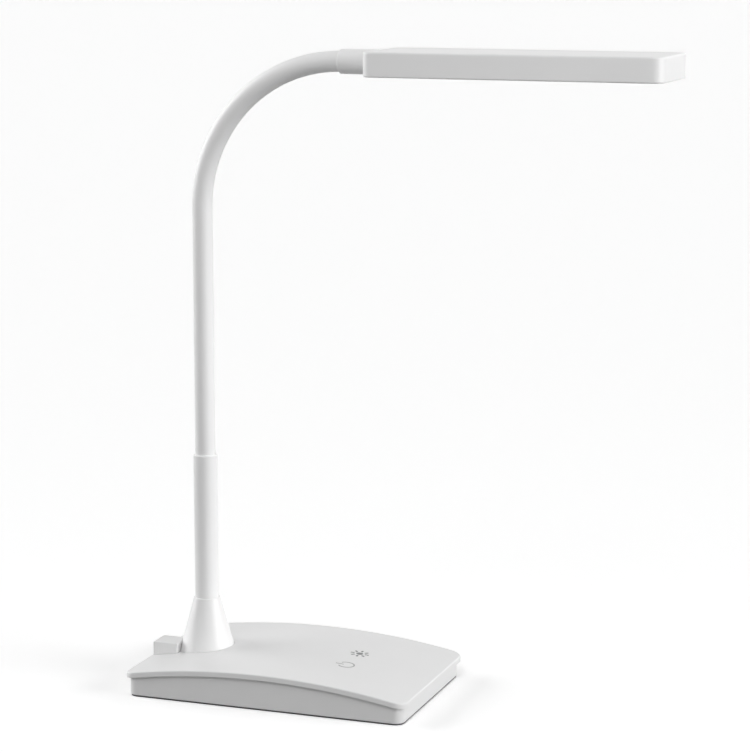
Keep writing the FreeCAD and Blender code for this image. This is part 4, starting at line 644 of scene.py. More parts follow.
@dataclass(frozen=True)
class Cone:
    """Outer form of the collar, which the lid and the port housing leave room for."""

    foot_radius: float = 17 * MM
    top_radius: float = 7.85 * MM
    bottom: float = 15.8 * MM
    top: float = 49.4 * MM
    play: float = 0.2 * MM
    facets: int = 96

    def room(self) -> bpy.types.Object:
        """Make the tool that cuts the room round the collar.

        Returns:
            The new mesh object.
        """
        profile = [(self.foot_radius + self.play, self.bottom),
                   (self.top_radius + self.play, self.top)]
        return turned("tool", profile, POST_FOOT, UP, Ends.FLAT, self.facets)


COLLAR = Cone()


@dataclass
class Assembly:
    """A group of pieces that are fixed to one body."""

    wardrobe: Wardrobe
    body: str = "base"

    def place(self, piece: bpy.types.Object, finish: str, *replaced: str,
              slot: str | None = None) -> None:
        """Dress a piece, fix it to the body and hide what it stands for.

        Args:
            piece: the piece.
            finish: name of its finish.
            replaced: the frame's nodes that it stands for.
            slot: the record's slot, where it isn't named as the finish.
        """
        self.wardrobe.dress(piece, finish, slot)
        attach(piece, self.body)
        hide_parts(*replaced)
        LOG.info("%s rides on %s", piece.name, self.body)


# ---------------------------------------------------------------- base


@dataclass
class Base(Assembly):
    """Arched lid over the weighted floor, with its mat and its two touch keys."""

    half_length: float = 87 * MM
    half_width: float = 55 * MM
    corner: float = 8 * MM
    arch_x: float = -2.5956 * MM
    arch_z: float = -438.34 * MM
    arch_radius: float = 460.15 * MM
    arch_steps: int = 64
    thickness: float = 3.2 * MM
    border: float = 4 * MM
    lip: float = 3.4 * MM
    lip_top_edge: float = 0.8 * MM
    lip_low_edge: float = 0.25 * MM
    overhang: float = 2.2 * MM
    skirt_wall: float = 3.2 * MM
    skirt_level: float = 9 * MM
    skirt_bottom: float = 0.8 * MM
    skirt_edge: float = 0.6 * MM
    pocket_low: Point = (-85.5 * MM, -15.8 * MM, 12.6 * MM)
    pocket_high: Point = (-69.1 * MM, 0.2 * MM, 30 * MM)
    inlet_start: Point = (-90 * MM, 22 * MM, 7.3 * MM)
    inlet_radius: float = 4.15 * MM
    inlet_depth: float = 10 * MM
    mat_half_length: float = 78.3 * MM
    mat_half_width: float = 46.3 * MM
    mat_corner: float = 5 * MM
    mat_top: float = 1.2 * MM
    mat_bevel: float = 0.2 * MM
    mat_inner: float = 6 * MM
    mat_outer: float = 2 * MM
    mat_steps: int = 3
    # Dark rubber rim out under the skirt's edge: the mat's edge, and painted contact shadow at the
    # base's foot.
    shadow_rim_gap: float = 0.35 * MM
    shadow_rim_top: float = 0.8 * MM
    shadow_rim_low_edge: float = 0.25 * MM
    groove_start: float = 3 * MM
    groove_end: float = 4.4 * MM
    groove_depth: float = 0.4 * MM
    groove_edge: float = 0.1 * MM
    print_lift: float = 0.05 * MM
    sun: Spot = (36.7 * MM, 10.2 * MM)
    dot_radius: float = 1.1 * MM
    dot_line: float = 1.9 * MM
    dot_steps: int = 24
    rays: int = 8
    ray_reach: tuple[float, float] = (3.3 * MM, 5.6 * MM)
    ray_line: float = 1.2 * MM
    power: Spot = (37 * MM, -13.4 * MM)
    ring_radius: float = 4.6 * MM
    ring_steps: int = 40
    ring_half_gap: float = 38   # degrees
    bar_reach: tuple[float, float] = (1.6 * MM, 6.4 * MM)
    power_line: float = 0.9 * MM

    def top(self, x: float) -> float:
        """Return the height of the lid over a place along X."""
        return self.arch_z + math.sqrt(self.arch_radius ** 2 - (x - self.arch_x) ** 2)

    def lid_loops(self) -> list[Loop]:
        """Lay the lid's loops, from its top over the lip and the skirt to its underside.

        Returns:
            The loops.
        """
        plan = Plan(-self.half_length, self.half_length, self.half_width,
                    self.corner, self.corner, self.arch_steps)
        deep = self.overhang + self.skirt_wall
        rim = soften([(self.border, 0, 0), (0, 0, self.lip_top_edge),
                      (0, -self.lip, self.lip_low_edge), (self.overhang, -self.lip, 0)])[1:]
        foot = soften([(self.overhang, self.skirt_level, 0),
                       (self.overhang, self.skirt_bottom, self.skirt_edge),
                       (deep, self.skirt_bottom, EASED), (deep, self.skirt_level, 0)])[1:-1]
        loops = [plan.loop(inset, lambda x, drop=drop: self.top(x) + drop) for inset, drop in rim]
        loops += plan.loops(foot)
        loops.append(plan.loop(deep, lambda x: self.top(x) - self.thickness))
        return loops

    def make_lid(self) -> None:
        """Build the lid, with its recess for the collar, its port pocket and its inlet hole."""
        lid = solid("lid", self.lid_loops(), Ends.STRIPS)
        pocket = square_tool(Vector(self.pocket_low), Vector(self.pocket_high))
        inlet = round_tool(Vector(self.inlet_start), self.inlet_radius, self.inlet_depth, AHEAD)
        carve(lid, (COLLAR.room(), pocket, inlet))
        self.place(polish(lid), "shell_white", "base_cover")

    def make_mat(self) -> None:
        """Build the rubber mat and groove; its dark rim under the skirt is partly painted shadow.
        """
        pad = Plan(-self.mat_half_length, self.mat_half_length, self.mat_half_width,
                   self.mat_corner, self.mat_corner)
        # The rim reaches under the skirt as a dark sheet that paints the contact shadow there, as
        # well as the mat's edge.
        inset = self.overhang + self.shadow_rim_gap
        rim = Plan(inset - self.half_length, self.half_length - inset, self.half_width - inset,
                   self.corner - inset, self.corner - inset)
        upper = [(self.mat_inner, self.mat_top), (self.mat_bevel, self.mat_top),
                 (0, self.mat_top - self.mat_bevel), (0, self.shadow_rim_top)]
        side = soften([(self.mat_outer, self.shadow_rim_top, 0), (0, self.shadow_rim_top, EASED),
                       (0, 0, self.shadow_rim_low_edge), (self.mat_outer, 0, 0)], self.mat_steps)[1:-1]
        start, end, depth = self.groove_start, self.groove_end, self.groove_depth
        under = soften([(self.mat_outer, 0, 0), (start, 0, EASED),
                        (start, depth, self.groove_edge), (end, depth, self.groove_edge),
                        (end, 0, EASED), (self.mat_inner, 0, 0)], self.mat_steps)
        loops = pad.loops(upper) + rim.loops(side) + pad.loops(under)
        mat = solid("rubber_mat", loops, Ends.FLAT)
        self.place(polish(mat), "mat_grey", "anti_slip_mat")

    def stroke(self, path: list[Spot], width: float) -> bpy.types.Object:
        """Lay one printed line on the lid.

        Args:
            path: places along the line's middle.
            width: width of the line.

        Returns:
            A thin solid that follows the lid.
        """
        left, right = [], []
        for i, (x, y) in enumerate(path):
            before, after = Vector(path[max(i - 1, 0)]), Vector(path[min(i + 1, len(path) - 1)])
            ahead = (after - before).normalized()
            aside = Vector((-ahead.y, ahead.x)) * width / 2
            left.append((x + aside.x, y + aside.y))
            right.append((x - aside.x, y - aside.y))
        outline = left + right[::-1]
        loops = [[Vector((x, y, self.top(x) + lift)) for x, y in outline]
                 for lift in (self.print_lift, -self.print_lift)]
        return solid("stroke", loops, Ends.STRIPS)

    def arc(self, centre: Spot, radius: float, start: float, end: float, steps: int
            ) -> list[Spot]:
        """Return places along an arc.

        Args:
            centre: middle of the arc.
            radius: its radius.
            start: angle where it starts, in degrees from +X.
            end: angle where it ends, in degrees from +X.
            steps: straight stretches in the arc.

        Returns:
            The places, with one more than there are stretches.
        """
        angles = (math.radians(start + (end - start) * k / steps) for k in range(steps + 1))
        return [(centre[0] + radius * math.cos(a), centre[1] + radius * math.sin(a))
                for a in angles]

    def make_brightness_key(self) -> None:
        """Print the sun on the far key."""
        x, y = self.sun
        dot = self.arc(self.sun, self.dot_radius, 0, 360, self.dot_steps)
        lines = [self.stroke(dot, self.dot_line)]
        for k in range(self.rays):
            turn = math.radians(360 / self.rays * k)
            ray = [(x + r * math.cos(turn), y + r * math.sin(turn)) for r in self.ray_reach]
            lines.append(self.stroke(ray, self.ray_line))
        self.place(merged("brightness_key", lines), "key_print", slot="parts_black")

    def make_power_key(self) -> None:
        """Print the open ring and its bar on the near key."""
        x, y = self.power
        ring = self.arc(self.power, self.ring_radius, 180 + self.ring_half_gap,
                        540 - self.ring_half_gap, self.ring_steps)
        bar = [(x - r, y) for r in self.bar_reach]
        lines = [self.stroke(path, self.power_line) for path in (ring, bar)]
        self.place(merged("power_key", lines), "key_print_light", slot="parts_black")

    def build(self) -> None:
        """Build the lid, the mat and the keys."""
        self.make_lid()
        self.make_mat()
        self.make_brightness_key()
        self.make_power_key()


@dataclass
class Port(Assembly):
    """Charging port behind the post: housing, metal shell, tongue and contacts."""

    low: Point = (-85.3 * MM, -15.6 * MM, 12.6 * MM)
    high: Point = (-69.3 * MM, 0.0, 22.8 * MM)
    edge: float = 0.8 * MM
    edge_steps: int = 4
    middle_y: float = -7.8 * MM
    middle_z: float = 17.35 * MM
    mouth_rear: float = -86 * MM
    mouth_front: float = -74.3 * MM
    mouth_play: float = 0.05 * MM
    shell_half_width: float = 6.55 * MM
    shell_half_height: float = 2.85 * MM
    shell_corner: float = 1.0 * MM
    shell_rear: float = -85.3 * MM
    shell_front: float = -74.5 * MM
    shell_wall: float = 0.35 * MM
    shell_rear_wall: float = 0.15 * MM
    lead_in: float = 0.4 * MM
    tongue_half_width: float = 5.55 * MM
    tongue_half_height: float = 0.92 * MM
    tongue_corner: float = 0.3 * MM
    tongue_z: float = 18.58 * MM
    tongue_rear: float = -84.85 * MM
    tongue_front: float = -74.85 * MM
    tongue_taper_y: float = 0.25 * MM
    tongue_taper_z: float = 0.3 * MM
    pads_y: tuple[float, ...] = (-11.3 * MM, -8.8 * MM, -6.8 * MM, -4.3 * MM)
    pad_half_width: float = 0.5 * MM
    pad_x: tuple[float, float] = (-84 * MM, -76 * MM)
    pad_z: tuple[float, float] = (17.58 * MM, 17.7 * MM)

    def outline(self, half_width: float, half_height: float, corner: float, x: float,
                z: float) -> Loop:
        """Return an upright rounded rectangle across the port.

        Args:
            half_width: half its size along Y.
            half_height: half its height.
            corner: radius of its corners.
            x: its place along X.
            z: height of its middle.

        Returns:
            The points of the rectangle.
        """
        plan = Plan(-half_width, half_width, half_height, corner, corner)
        return [Vector((x, p.x + self.middle_y, p.y + z)) for p in plan.loop(0, 0.0)]

    def make_housing(self) -> None:
        """Build the housing, rounded except underneath, with its mouth and the collar's room."""
        box = square_tool(Vector(self.low), Vector(self.high))
        shape = bmesh.new()
        shape.from_mesh(box.data)
        bpy.data.objects.remove(box)
        bmesh.ops.remove_doubles(shape, verts=shape.verts, dist=WELD)
        soft = [e for e in shape.edges if e.calc_face_angle(0) > SHARP_ANGLE
                and max(v.co.z for v in e.verts) > self.low[2] + WELD]
        bmesh.ops.bevel(shape, geom=soft, offset=self.edge, segments=self.edge_steps,
                        affect="EDGES", profile=0.5)
        housing = hand_over("port_block", shape)
        half_width = self.shell_half_width + self.mouth_play
        half_height = self.shell_half_height + self.mouth_play
        mouth = square_tool(
            Vector((self.mouth_rear, self.middle_y - half_width, self.middle_z - half_height)),
            Vector((self.mouth_front, self.middle_y + half_width, self.middle_z + half_height)))
        carve(housing, (mouth, COLLAR.room()))
        self.place(polish(housing), "port_white", "port_housing")

    def make_shell(self) -> None:
        """Build the metal shell, with a flared mouth that leads the plug in."""
        rear, front = self.shell_rear, self.shell_front
        profile = ((0, rear), (0, front), (self.shell_wall, front),
                   (self.shell_wall, rear + self.lead_in), (self.shell_rear_wall, rear))
        loops = [self.outline(self.shell_half_width - inset, self.shell_half_height - inset,
                              self.shell_corner, x, self.middle_z) for inset, x in profile]
        shell = solid("port_sleeve", loops, Ends.ROUND)
        self.place(polish(shell), "shell_steel", "port_shell")

    def make_tongue(self) -> None:
        """Build the tongue, tapered towards the plug."""
        half_width, half_height = self.tongue_half_width, self.tongue_half_height
        places = ((half_width - self.tongue_taper_y, half_height - self.tongue_taper_z,
                   self.tongue_rear),
                  (half_width, half_height, self.tongue_rear + self.lead_in),
                  (half_width, half_height, self.tongue_front))
        loops = [self.outline(wide, high, self.tongue_corner, x, self.tongue_z)
                 for wide, high, x in places]
        tongue = solid("port_blade", loops, Ends.FLAT)
        self.place(polish(tongue), "tongue_white", "port_tongue")

    def make_contacts(self) -> None:
        """Build the contacts under the tongue."""
        (rear, front), (bottom, top) = self.pad_x, self.pad_z
        pads = [square_tool(Vector((rear, y - self.pad_half_width, bottom)),
                            Vector((front, y + self.pad_half_width, top)))
                for y in self.pads_y]
        self.place(polish(merged("port_contacts", pads)), "contact_gold", slot="pin_metal")

    def build(self) -> None:
        """Build every piece of the port."""
        self.make_housing()
        self.make_shell()
        self.make_tongue()
        self.make_contacts()


# ---------------------------------------------------------------- post and arm


@dataclass
class Post(Assembly):
    """Conical collar and the straight sleeve that stands in it."""

    collar_bore: float = 14.8 * MM
    collar_foot_edge: float = 0.25 * MM
    collar_top_edge: float = 0.4 * MM
    collar_mouth: float = 7.25 * MM
    collar_mouth_depth: float = 7 * MM
    sleeve_bore: float = 6.4 * MM
    sleeve_radius: float = 7.15 * MM
    sleeve_bottom: float = 18.8 * MM
    sleeve_bottom_edge: float = 0.2 * MM
    sleeve_top: float = 136 * MM
    sleeve_top_edge: float = 0.6 * MM
    sleeve_mouth: float = 6.1 * MM
    sleeve_mouth_depth: float = 3 * MM
    sleeve_mouth_edge: float = 0.1 * MM
    sleeve_step: float = 0.4 * MM

    def make_collar(self) -> None:
        """Build the hollow collar."""
        profile = soften([(self.collar_bore, COLLAR.bottom, 0),
                          (COLLAR.foot_radius, COLLAR.bottom, self.collar_foot_edge),
                          (COLLAR.top_radius, COLLAR.top, self.collar_top_edge),
                          (self.collar_mouth, COLLAR.top, EASED),
                          (self.collar_mouth, COLLAR.top - self.collar_mouth_depth, 0)])
        collar = turned("collar", profile, POST_FOOT, UP, steps=COLLAR.facets)
        self.place(polish(collar), "shell_white", "post_collar")

    def make_sleeve(self) -> None:
        """Build the sleeve, with the lip that closes round the arm."""
        seat = self.sleeve_top - self.sleeve_mouth_depth
        profile = soften([(self.sleeve_bore, self.sleeve_bottom, 0),
                          (self.sleeve_radius, self.sleeve_bottom, self.sleeve_bottom_edge),
                          (self.sleeve_radius, self.sleeve_top, self.sleeve_top_edge),
                          (self.sleeve_mouth, self.sleeve_top, EASED),
                          (self.sleeve_mouth, seat, self.sleeve_mouth_edge),
                          (self.sleeve_bore, seat - self.sleeve_step, 0)])
        sleeve = turned("sleeve", profile, POST_FOOT, UP)
        self.place(polish(sleeve), "sleeve_white", "post_sleeve")

    def build(self) -> None:
        """Build both pieces of the post."""
        self.make_collar()
        self.make_sleeve()


@dataclass
class Arm:
    """Soft skin of the flexible arm, in one length for each joint."""

    wardrobe: Wardrobe
    axis_x: float = POST_X
    tuck_bottom: float = 132 * MM
    run_bottom: float = 136 * MM
    run_top: float = 282 * MM
    run_lengths: int = 4
    bend_lengths: int = 4
    bend_radius: float = 86 * MM
    tuck: float = 4 * MM
    radius: float = 6 * MM
    bore: float = 5 * MM
    run_rings: int = 16
    bend_rings: int = 18
    facets: int = 48
    stiff_share: float = 0.05
    end_facing: float = 0.5

    @property
    def lengths(self) -> int:
        """Number of lengths of skin, which is the number of joints too."""
        return self.run_lengths + self.bend_lengths

    @property
    def bend_span(self) -> float:
        """Length of the quarter turn along its middle line."""
        return self.bend_radius * math.pi / 2

    def station(self, height: float) -> tuple[Vector, Vector]:
        """Return the arm's middle and its outer side at a length along it, from the floor.

        Args:
            height: length along the arm's middle line.

        Returns:
            The point on the middle line, and the direction of the outer side of the bend.
        """
        turn = min(max((height - self.run_top) / self.bend_radius, 0.0), math.pi / 2)
        outer = Vector((-math.cos(turn), 0, math.sin(turn)))
        centre = Vector((self.axis_x + self.bend_radius, 0, self.run_top))
        middle = centre + outer * self.bend_radius
        if height < self.run_top:
            middle.z = height
        middle.x += max(height - self.run_top - self.bend_span, 0.0)
        return middle, outer

    def nearest(self, point: Vector) -> float:
        """Find the place on the arm's middle line that is closest to a point.

        Args:
            point: a point on the skin.

        Returns:
            The length along the middle line, from the floor.
        """
        rise = point.z - self.run_top
        past = point.x - self.axis_x - self.bend_radius
        if rise < 0:
            return point.z
        if past > 0:
            return self.run_top + self.bend_span + past
        return self.run_top + self.bend_radius * math.atan2(rise, -past)

    def cuts(self) -> list[float]:
        """Find where one length of skin meets the next.

        Returns:
            The lengths along the arm, from the lower end of the skin to its upper end.
        """
        run = (self.run_top - self.run_bottom) / self.run_lengths
        turn = self.bend_span / self.bend_lengths
        places = [self.tuck_bottom]
        places += [self.run_bottom + run * k for k in range(1, self.run_lengths + 1)]
        places += [self.run_top + turn * k for k in range(1, self.bend_lengths + 1)]
        places[-1] += self.tuck
        return places

    def ring(self, height: float, radius: float) -> Loop:
        """Lay one ring of points round the arm.

        Args:
            height: length along the arm's middle line.
            radius: radius of the ring.

        Returns:
            The points of the ring.
        """
        middle, outer = self.station(height)
        angles = (2 * math.pi * k / self.facets for k in range(self.facets))
        return [middle + (outer * math.cos(a) + ACROSS * math.sin(a)) * radius for a in angles]

    def shade(self, piece: bpy.types.Object) -> None:
        """Set the exact normals of a length of skin, so that it runs on without a seam.

        Args:
            piece: the length of skin.
        """
        mesh = piece.data
        mesh.shade_smooth()
        normals = []
        for face in mesh.polygons:
            for index in face.vertices:
                point = mesh.vertices[index].co
                middle = self.station(self.nearest(point))[0]
                spoke = (point - middle).normalized()
                outward = spoke.dot(face.normal)
                is_end = abs(outward) < self.end_facing
                normals.append(face.normal if is_end else spoke * math.copysign(1, outward))
        mesh.normals_split_custom_set(normals)

    def make_length(self, number: int, low: float, high: float) -> None:
        """Build one length of skin.

        Args:
            number: which length it is, from one at the sleeve.
            low: where it starts along the arm.
            high: where it ends along the arm.
        """
        is_first, is_last = number == 1, number == self.lengths
        rings = self.run_rings if number <= self.run_lengths else self.bend_rings
        heights = [low + (high - low) * k / rings for k in range(rings + 1)]
        if is_last:
            heights = sorted(set(heights) | {high - self.tuck})
        loops = [self.ring(h, self.radius) for h in heights]
        loops += [self.ring(h, self.bore) for h in reversed(heights)]
        piece = solid(f"arm_cover_{number}", loops, Ends.ROUND)
        self.shade(piece)
        self.wardrobe.dress(piece, "arm_skin")
        margin = self.stiff_share * (high - low)
        start = self.station(low + (self.tuck if is_first else margin))[0]
        end = self.station(high - (self.tuck if is_last else margin))[0]
        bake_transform(piece)
        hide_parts(f"arm_skin_{number}")

    def build(self) -> None:
        """Build every length of skin."""
        places = self.cuts()
        for number, (low, high) in enumerate(zip(places, places[1:]), start=1):
            self.make_length(number, low, high)


# ---------------------------------------------------------------- head


@dataclass
class Head(Assembly):
    """Flat light head: ferrule, shell, bezel, opal panel and screws."""

    body: str = "head"
    x_low: float = 52 * MM
    x_high: float = 222 * MM
    half_width: float = 30 * MM
    bottom: float = 361 * MM
    top: float = 375 * MM
    axis_z: float = 368 * MM
    rear_corner: float = 5.5 * MM
    front_corner: float = 8 * MM
    border: float = 4 * MM
    top_edge: float = 1.2 * MM
    bottom_edge: float = 0.9 * MM
    inner_edge: float = 0.2 * MM
    ceiling_edge: float = 0.4 * MM
    wall: float = 2 * MM
    anchor_hole: float = 5.1 * MM
    ferrule_x: float = 29.5 * MM
    ferrule_length: float = 22.5 * MM
    ferrule_radius: float = 7.15 * MM
    ferrule_bore: float = 6.4 * MM
    ferrule_edge: float = 0.7 * MM
    ferrule_mouth: float = 6.15 * MM
    ferrule_mouth_depth: float = 4.3 * MM
    ferrule_mouth_edge: float = 0.1 * MM
    bezel_bottom: float = 361.4 * MM
    bezel_top: float = 363.2 * MM
    bezel_play: float = 0.2 * MM
    bezel_edge: tuple[Spot, ...] = ((0, 0.25 * MM), (0.08 * MM, 0.08 * MM), (0.25 * MM, 0))
    window_x: tuple[float, float] = (74.5 * MM, 207.5 * MM)
    window_half_width: float = 23.5 * MM
    window_corner: float = 2.5 * MM
    window_edge: tuple[Spot, ...] = ((-0.9 * MM, 0), (-0.7 * MM, 0.06 * MM),
                                     (-0.06 * MM, 0.7 * MM), (0, 0.9 * MM))
    panel_top: float = 365 * MM
    panel_face: float = 362.5 * MM
    panel_rim: float = 2.5 * MM
    panel_play: float = 0.2 * MM
    panel_border: float = 6 * MM
    panel_corner: float = 1 * MM
    panel_edge: float = 0.2 * MM
    panel_step_edge: float = 0.1 * MM
    panel_face_edge: float = 0.4 * MM
    panel_steps: int = 4
    screw_x: tuple[float, float] = (63 * MM, 215.5 * MM)
    screw_y: float = 22.5 * MM
    screw_face: float = 361.45 * MM
    screw_seat: float = 362.3 * MM
    screw_tip: float = 367.4 * MM
    screw_middle: float = 0.2 * MM
    screw_head: float = 1.9 * MM
    screw_head_edge: float = 0.35 * MM
    screw_shank: float = 1.0 * MM
    screw_point: float = 0.5 * MM
    screw_point_radius: float = 0.3 * MM
    screw_steps: int = 32
    cross_half_length: float = 1.1 * MM
    cross_half_width: float = 0.26 * MM
    cross_depth: float = 0.5 * MM
    sink_radius: float = 2.0 * MM
    sink_depth: float = 0.9 * MM

    def make_ferrule(self) -> None:
        """Build the ferrule between the arm and the head."""
        depth = self.ferrule_mouth_depth
        profile = soften([(self.ferrule_bore, self.ferrule_length, 0),
                          (self.ferrule_radius, self.ferrule_length, 0),
                          (self.ferrule_radius, 0, self.ferrule_edge),
                          (self.ferrule_mouth, 0, EASED),
                          (self.ferrule_mouth, depth, self.ferrule_mouth_edge),
                          (self.ferrule_bore, depth, 0)])
        ferrule = turned("ferrule", profile, Vector((self.ferrule_x, 0, self.axis_z)), AHEAD)
        self.place(polish(ferrule), "sleeve_white", "head_ferrule")

    def make_shell(self) -> None:
        """Build the shell, open underneath, with the hole for the arm's anchor."""
        plan = Plan(self.x_low, self.x_high, self.half_width, self.rear_corner, self.front_corner)
        ceiling = self.top - self.wall
        profile = soften([(self.border, self.top, 0), (0, self.top, self.top_edge),
                          (0, self.bottom, self.bottom_edge),
                          (self.wall, self.bottom, self.inner_edge),
                          (self.wall, ceiling, self.ceiling_edge), (self.border, ceiling, 0)])
        shell = solid("head_cover", plan.loops(profile), Ends.FLAT)
        hole = round_tool(Vector((self.x_low - MM, 0, self.axis_z)), self.anchor_hole,
                          self.wall + 2 * MM, AHEAD)
        self.place(polish(carve(shell, (hole,))), "shell_white", "head_shell")

    def window(self, margin: float, corner: float) -> Plan:
        """Return the plan of the light's window, made larger all round by a margin."""
        return Plan(self.window_x[0] - margin, self.window_x[1] + margin,
                    self.window_half_width + margin, corner, corner)

    def make_bezel(self) -> None:
        """Build the frame round the opal panel, with sinks for its screws."""
        inset = self.wall + self.bezel_play
        outer = Plan(self.x_low + inset, self.x_high - inset, self.half_width - inset,
                     self.rear_corner - inset, self.front_corner - inset)
        low, high = self.bezel_bottom, self.bezel_top
        loops = [outer.loop(0, high)]
        loops += outer.loops((inset, low + rise) for inset, rise in self.bezel_edge)
        window = self.window(0, self.window_corner)
        loops += window.loops((inset, low + rise) for inset, rise in self.window_edge)
        loops.append(window.loop(0, high))
        sinks = [round_tool(Vector((x, y, low - MM)), self.sink_radius, self.sink_depth + MM, UP)
                 for x, y in self.screw_places()]
        bezel = carve(solid("panel_bezel", loops, Ends.ROUND), sinks)
        self.place(polish(bezel), "shell_white", "head_bezel")

    def make_panel(self) -> None:
        """Build the opal panel, whose middle stands a little into the bezel's window."""
        step, seat, face = self.panel_rim + self.panel_play, self.bezel_top, self.panel_face
        profile = soften([(self.panel_border, self.panel_top, 0),
                          (0, self.panel_top, self.panel_edge), (0, seat, self.panel_edge),
                          (step, seat, self.panel_step_edge), (step, face, self.panel_face_edge),
                          (self.panel_border, face, 0)], self.panel_steps)
        plan = self.window(self.panel_rim, self.panel_corner)
        panel = solid("opal_panel", plan.loops(profile), Ends.FLAT)
        self.place(polish(panel), "diffuser_opal", "diffuser")

    def screw_places(self) -> list[Spot]:
        """Return the places of the bezel screws."""
        return [(x, y) for x in self.screw_x for y in (-self.screw_y, self.screw_y)]

    def make_screw(self, x: float, y: float) -> bpy.types.Object:
        """Make one bezel screw, with the cross recess in its head.

        Args:
            x: its place along X.
            y: its place along Y.

        Returns:
            The new mesh object.
        """
        face, seat, tip = self.screw_face, self.screw_seat, self.screw_tip
        profile = soften([(self.screw_middle, face, 0),
                          (self.screw_head, face, self.screw_head_edge),
                          (self.screw_head, seat, 0), (self.screw_shank, seat, 0),
                          (self.screw_shank, tip - self.screw_point, 0),
                          (self.screw_point_radius, tip, 0)])
        screw = turned("screw", profile, Vector((x, y, 0)), UP, Ends.FLAT, self.screw_steps)
        long, wide = self.cross_half_length, self.cross_half_width
        slots = [square_tool(Vector((x - a, y - b, face - MM)),
                             Vector((x + a, y + b, face + self.cross_depth)))
                 for a, b in ((long, wide), (wide, long))]
        return carve(screw, slots)

    def make_screws(self) -> None:
        """Build the bezel screws as one piece."""
        screws = [self.make_screw(x, y) for x, y in self.screw_places()]
        self.place(polish(merged("panel_screws", screws)), "screw_steel", "bezel_screws")

    def build(self) -> None:
        """Build every piece of the head that shows."""
        self.make_ferrule()
        self.make_shell()
        self.make_bezel()
        self.make_panel()
        self.make_screws()


# ---------------------------------------------------------------- studio


class LightKind(Enum):
    """Blender's sorts of light that the studio uses."""

    SUN = "SUN"
    AREA = "AREA"


def hang_light(name: str, kind: LightKind, energy: float, reach: Vector, place: Vector
               ) -> bpy.types.Object:
    """Add a light to the scene.

    Args:
        name: name of the light.
        kind: which sort of light it is.
        energy: its strength, in the unit of its sort.
        reach: the direction it comes from.
        place: where it hangs.

    Returns:
        The light's object.
    """
    data = bpy.data.lights.new(name, kind.value)
    data.energy = energy
    light = bpy.data.objects.new(name, data)
    light.rotation_mode = "QUATERNION"
    light.rotation_quaternion = reach.to_track_quat("Z", "Y")
    light.location = place
    bpy.context.scene.collection.objects.link(light)
    return light


@dataclass(frozen=True)
class Lamp:
    """One wide, even studio light, whose spread is in degrees."""

    name: str
    source: Vector
    level: float
    spread: float
    distance: float = 2.0

    def build(self) -> None:
        """Add the light. A level of one shows a white face that looks at it as white."""
        place = self.source.normalized() * self.distance
        energy = self.level * math.pi
        light = hang_light(self.name, LightKind.SUN, energy, self.source, place)
        light.data.angle = math.radians(self.spread)


@dataclass(frozen=True)
class Panel:
    """One round studio panel close to the object."""

    name: str
    place: Vector
    target: Vector
    width: float
    level: float

    def build(self) -> None:
        """Add the panel. A level of one shows a white face at its target as white."""
        reach = self.place - self.target
        energy = self.level * (math.pi * reach.length) ** 2
        light = hang_light(self.name, LightKind.AREA, energy, reach, self.place)
        light.data.shape = "DISK"
        light.data.size = self.width
        light.visible_camera = False


def mix_shaders(tree: bpy.types.NodeTree, share: bpy.types.NodeSocket,
                first: bpy.types.NodeSocket, second: bpy.types.NodeSocket
                ) -> bpy.types.NodeSocket:
    """Go from one shader to another.

    Args:
        tree: the material's tree.
        share: zero for the first shader and one for the second.
        first: the first shader.
        second: the second shader.

    Returns:
        The socket that carries the result.
    """
    node = tree.nodes.new("ShaderNodeMixShader")
    for socket, source in zip(node.inputs, (share, first, second)):
        tree.links.new(source, socket)
    return node.outputs[0]


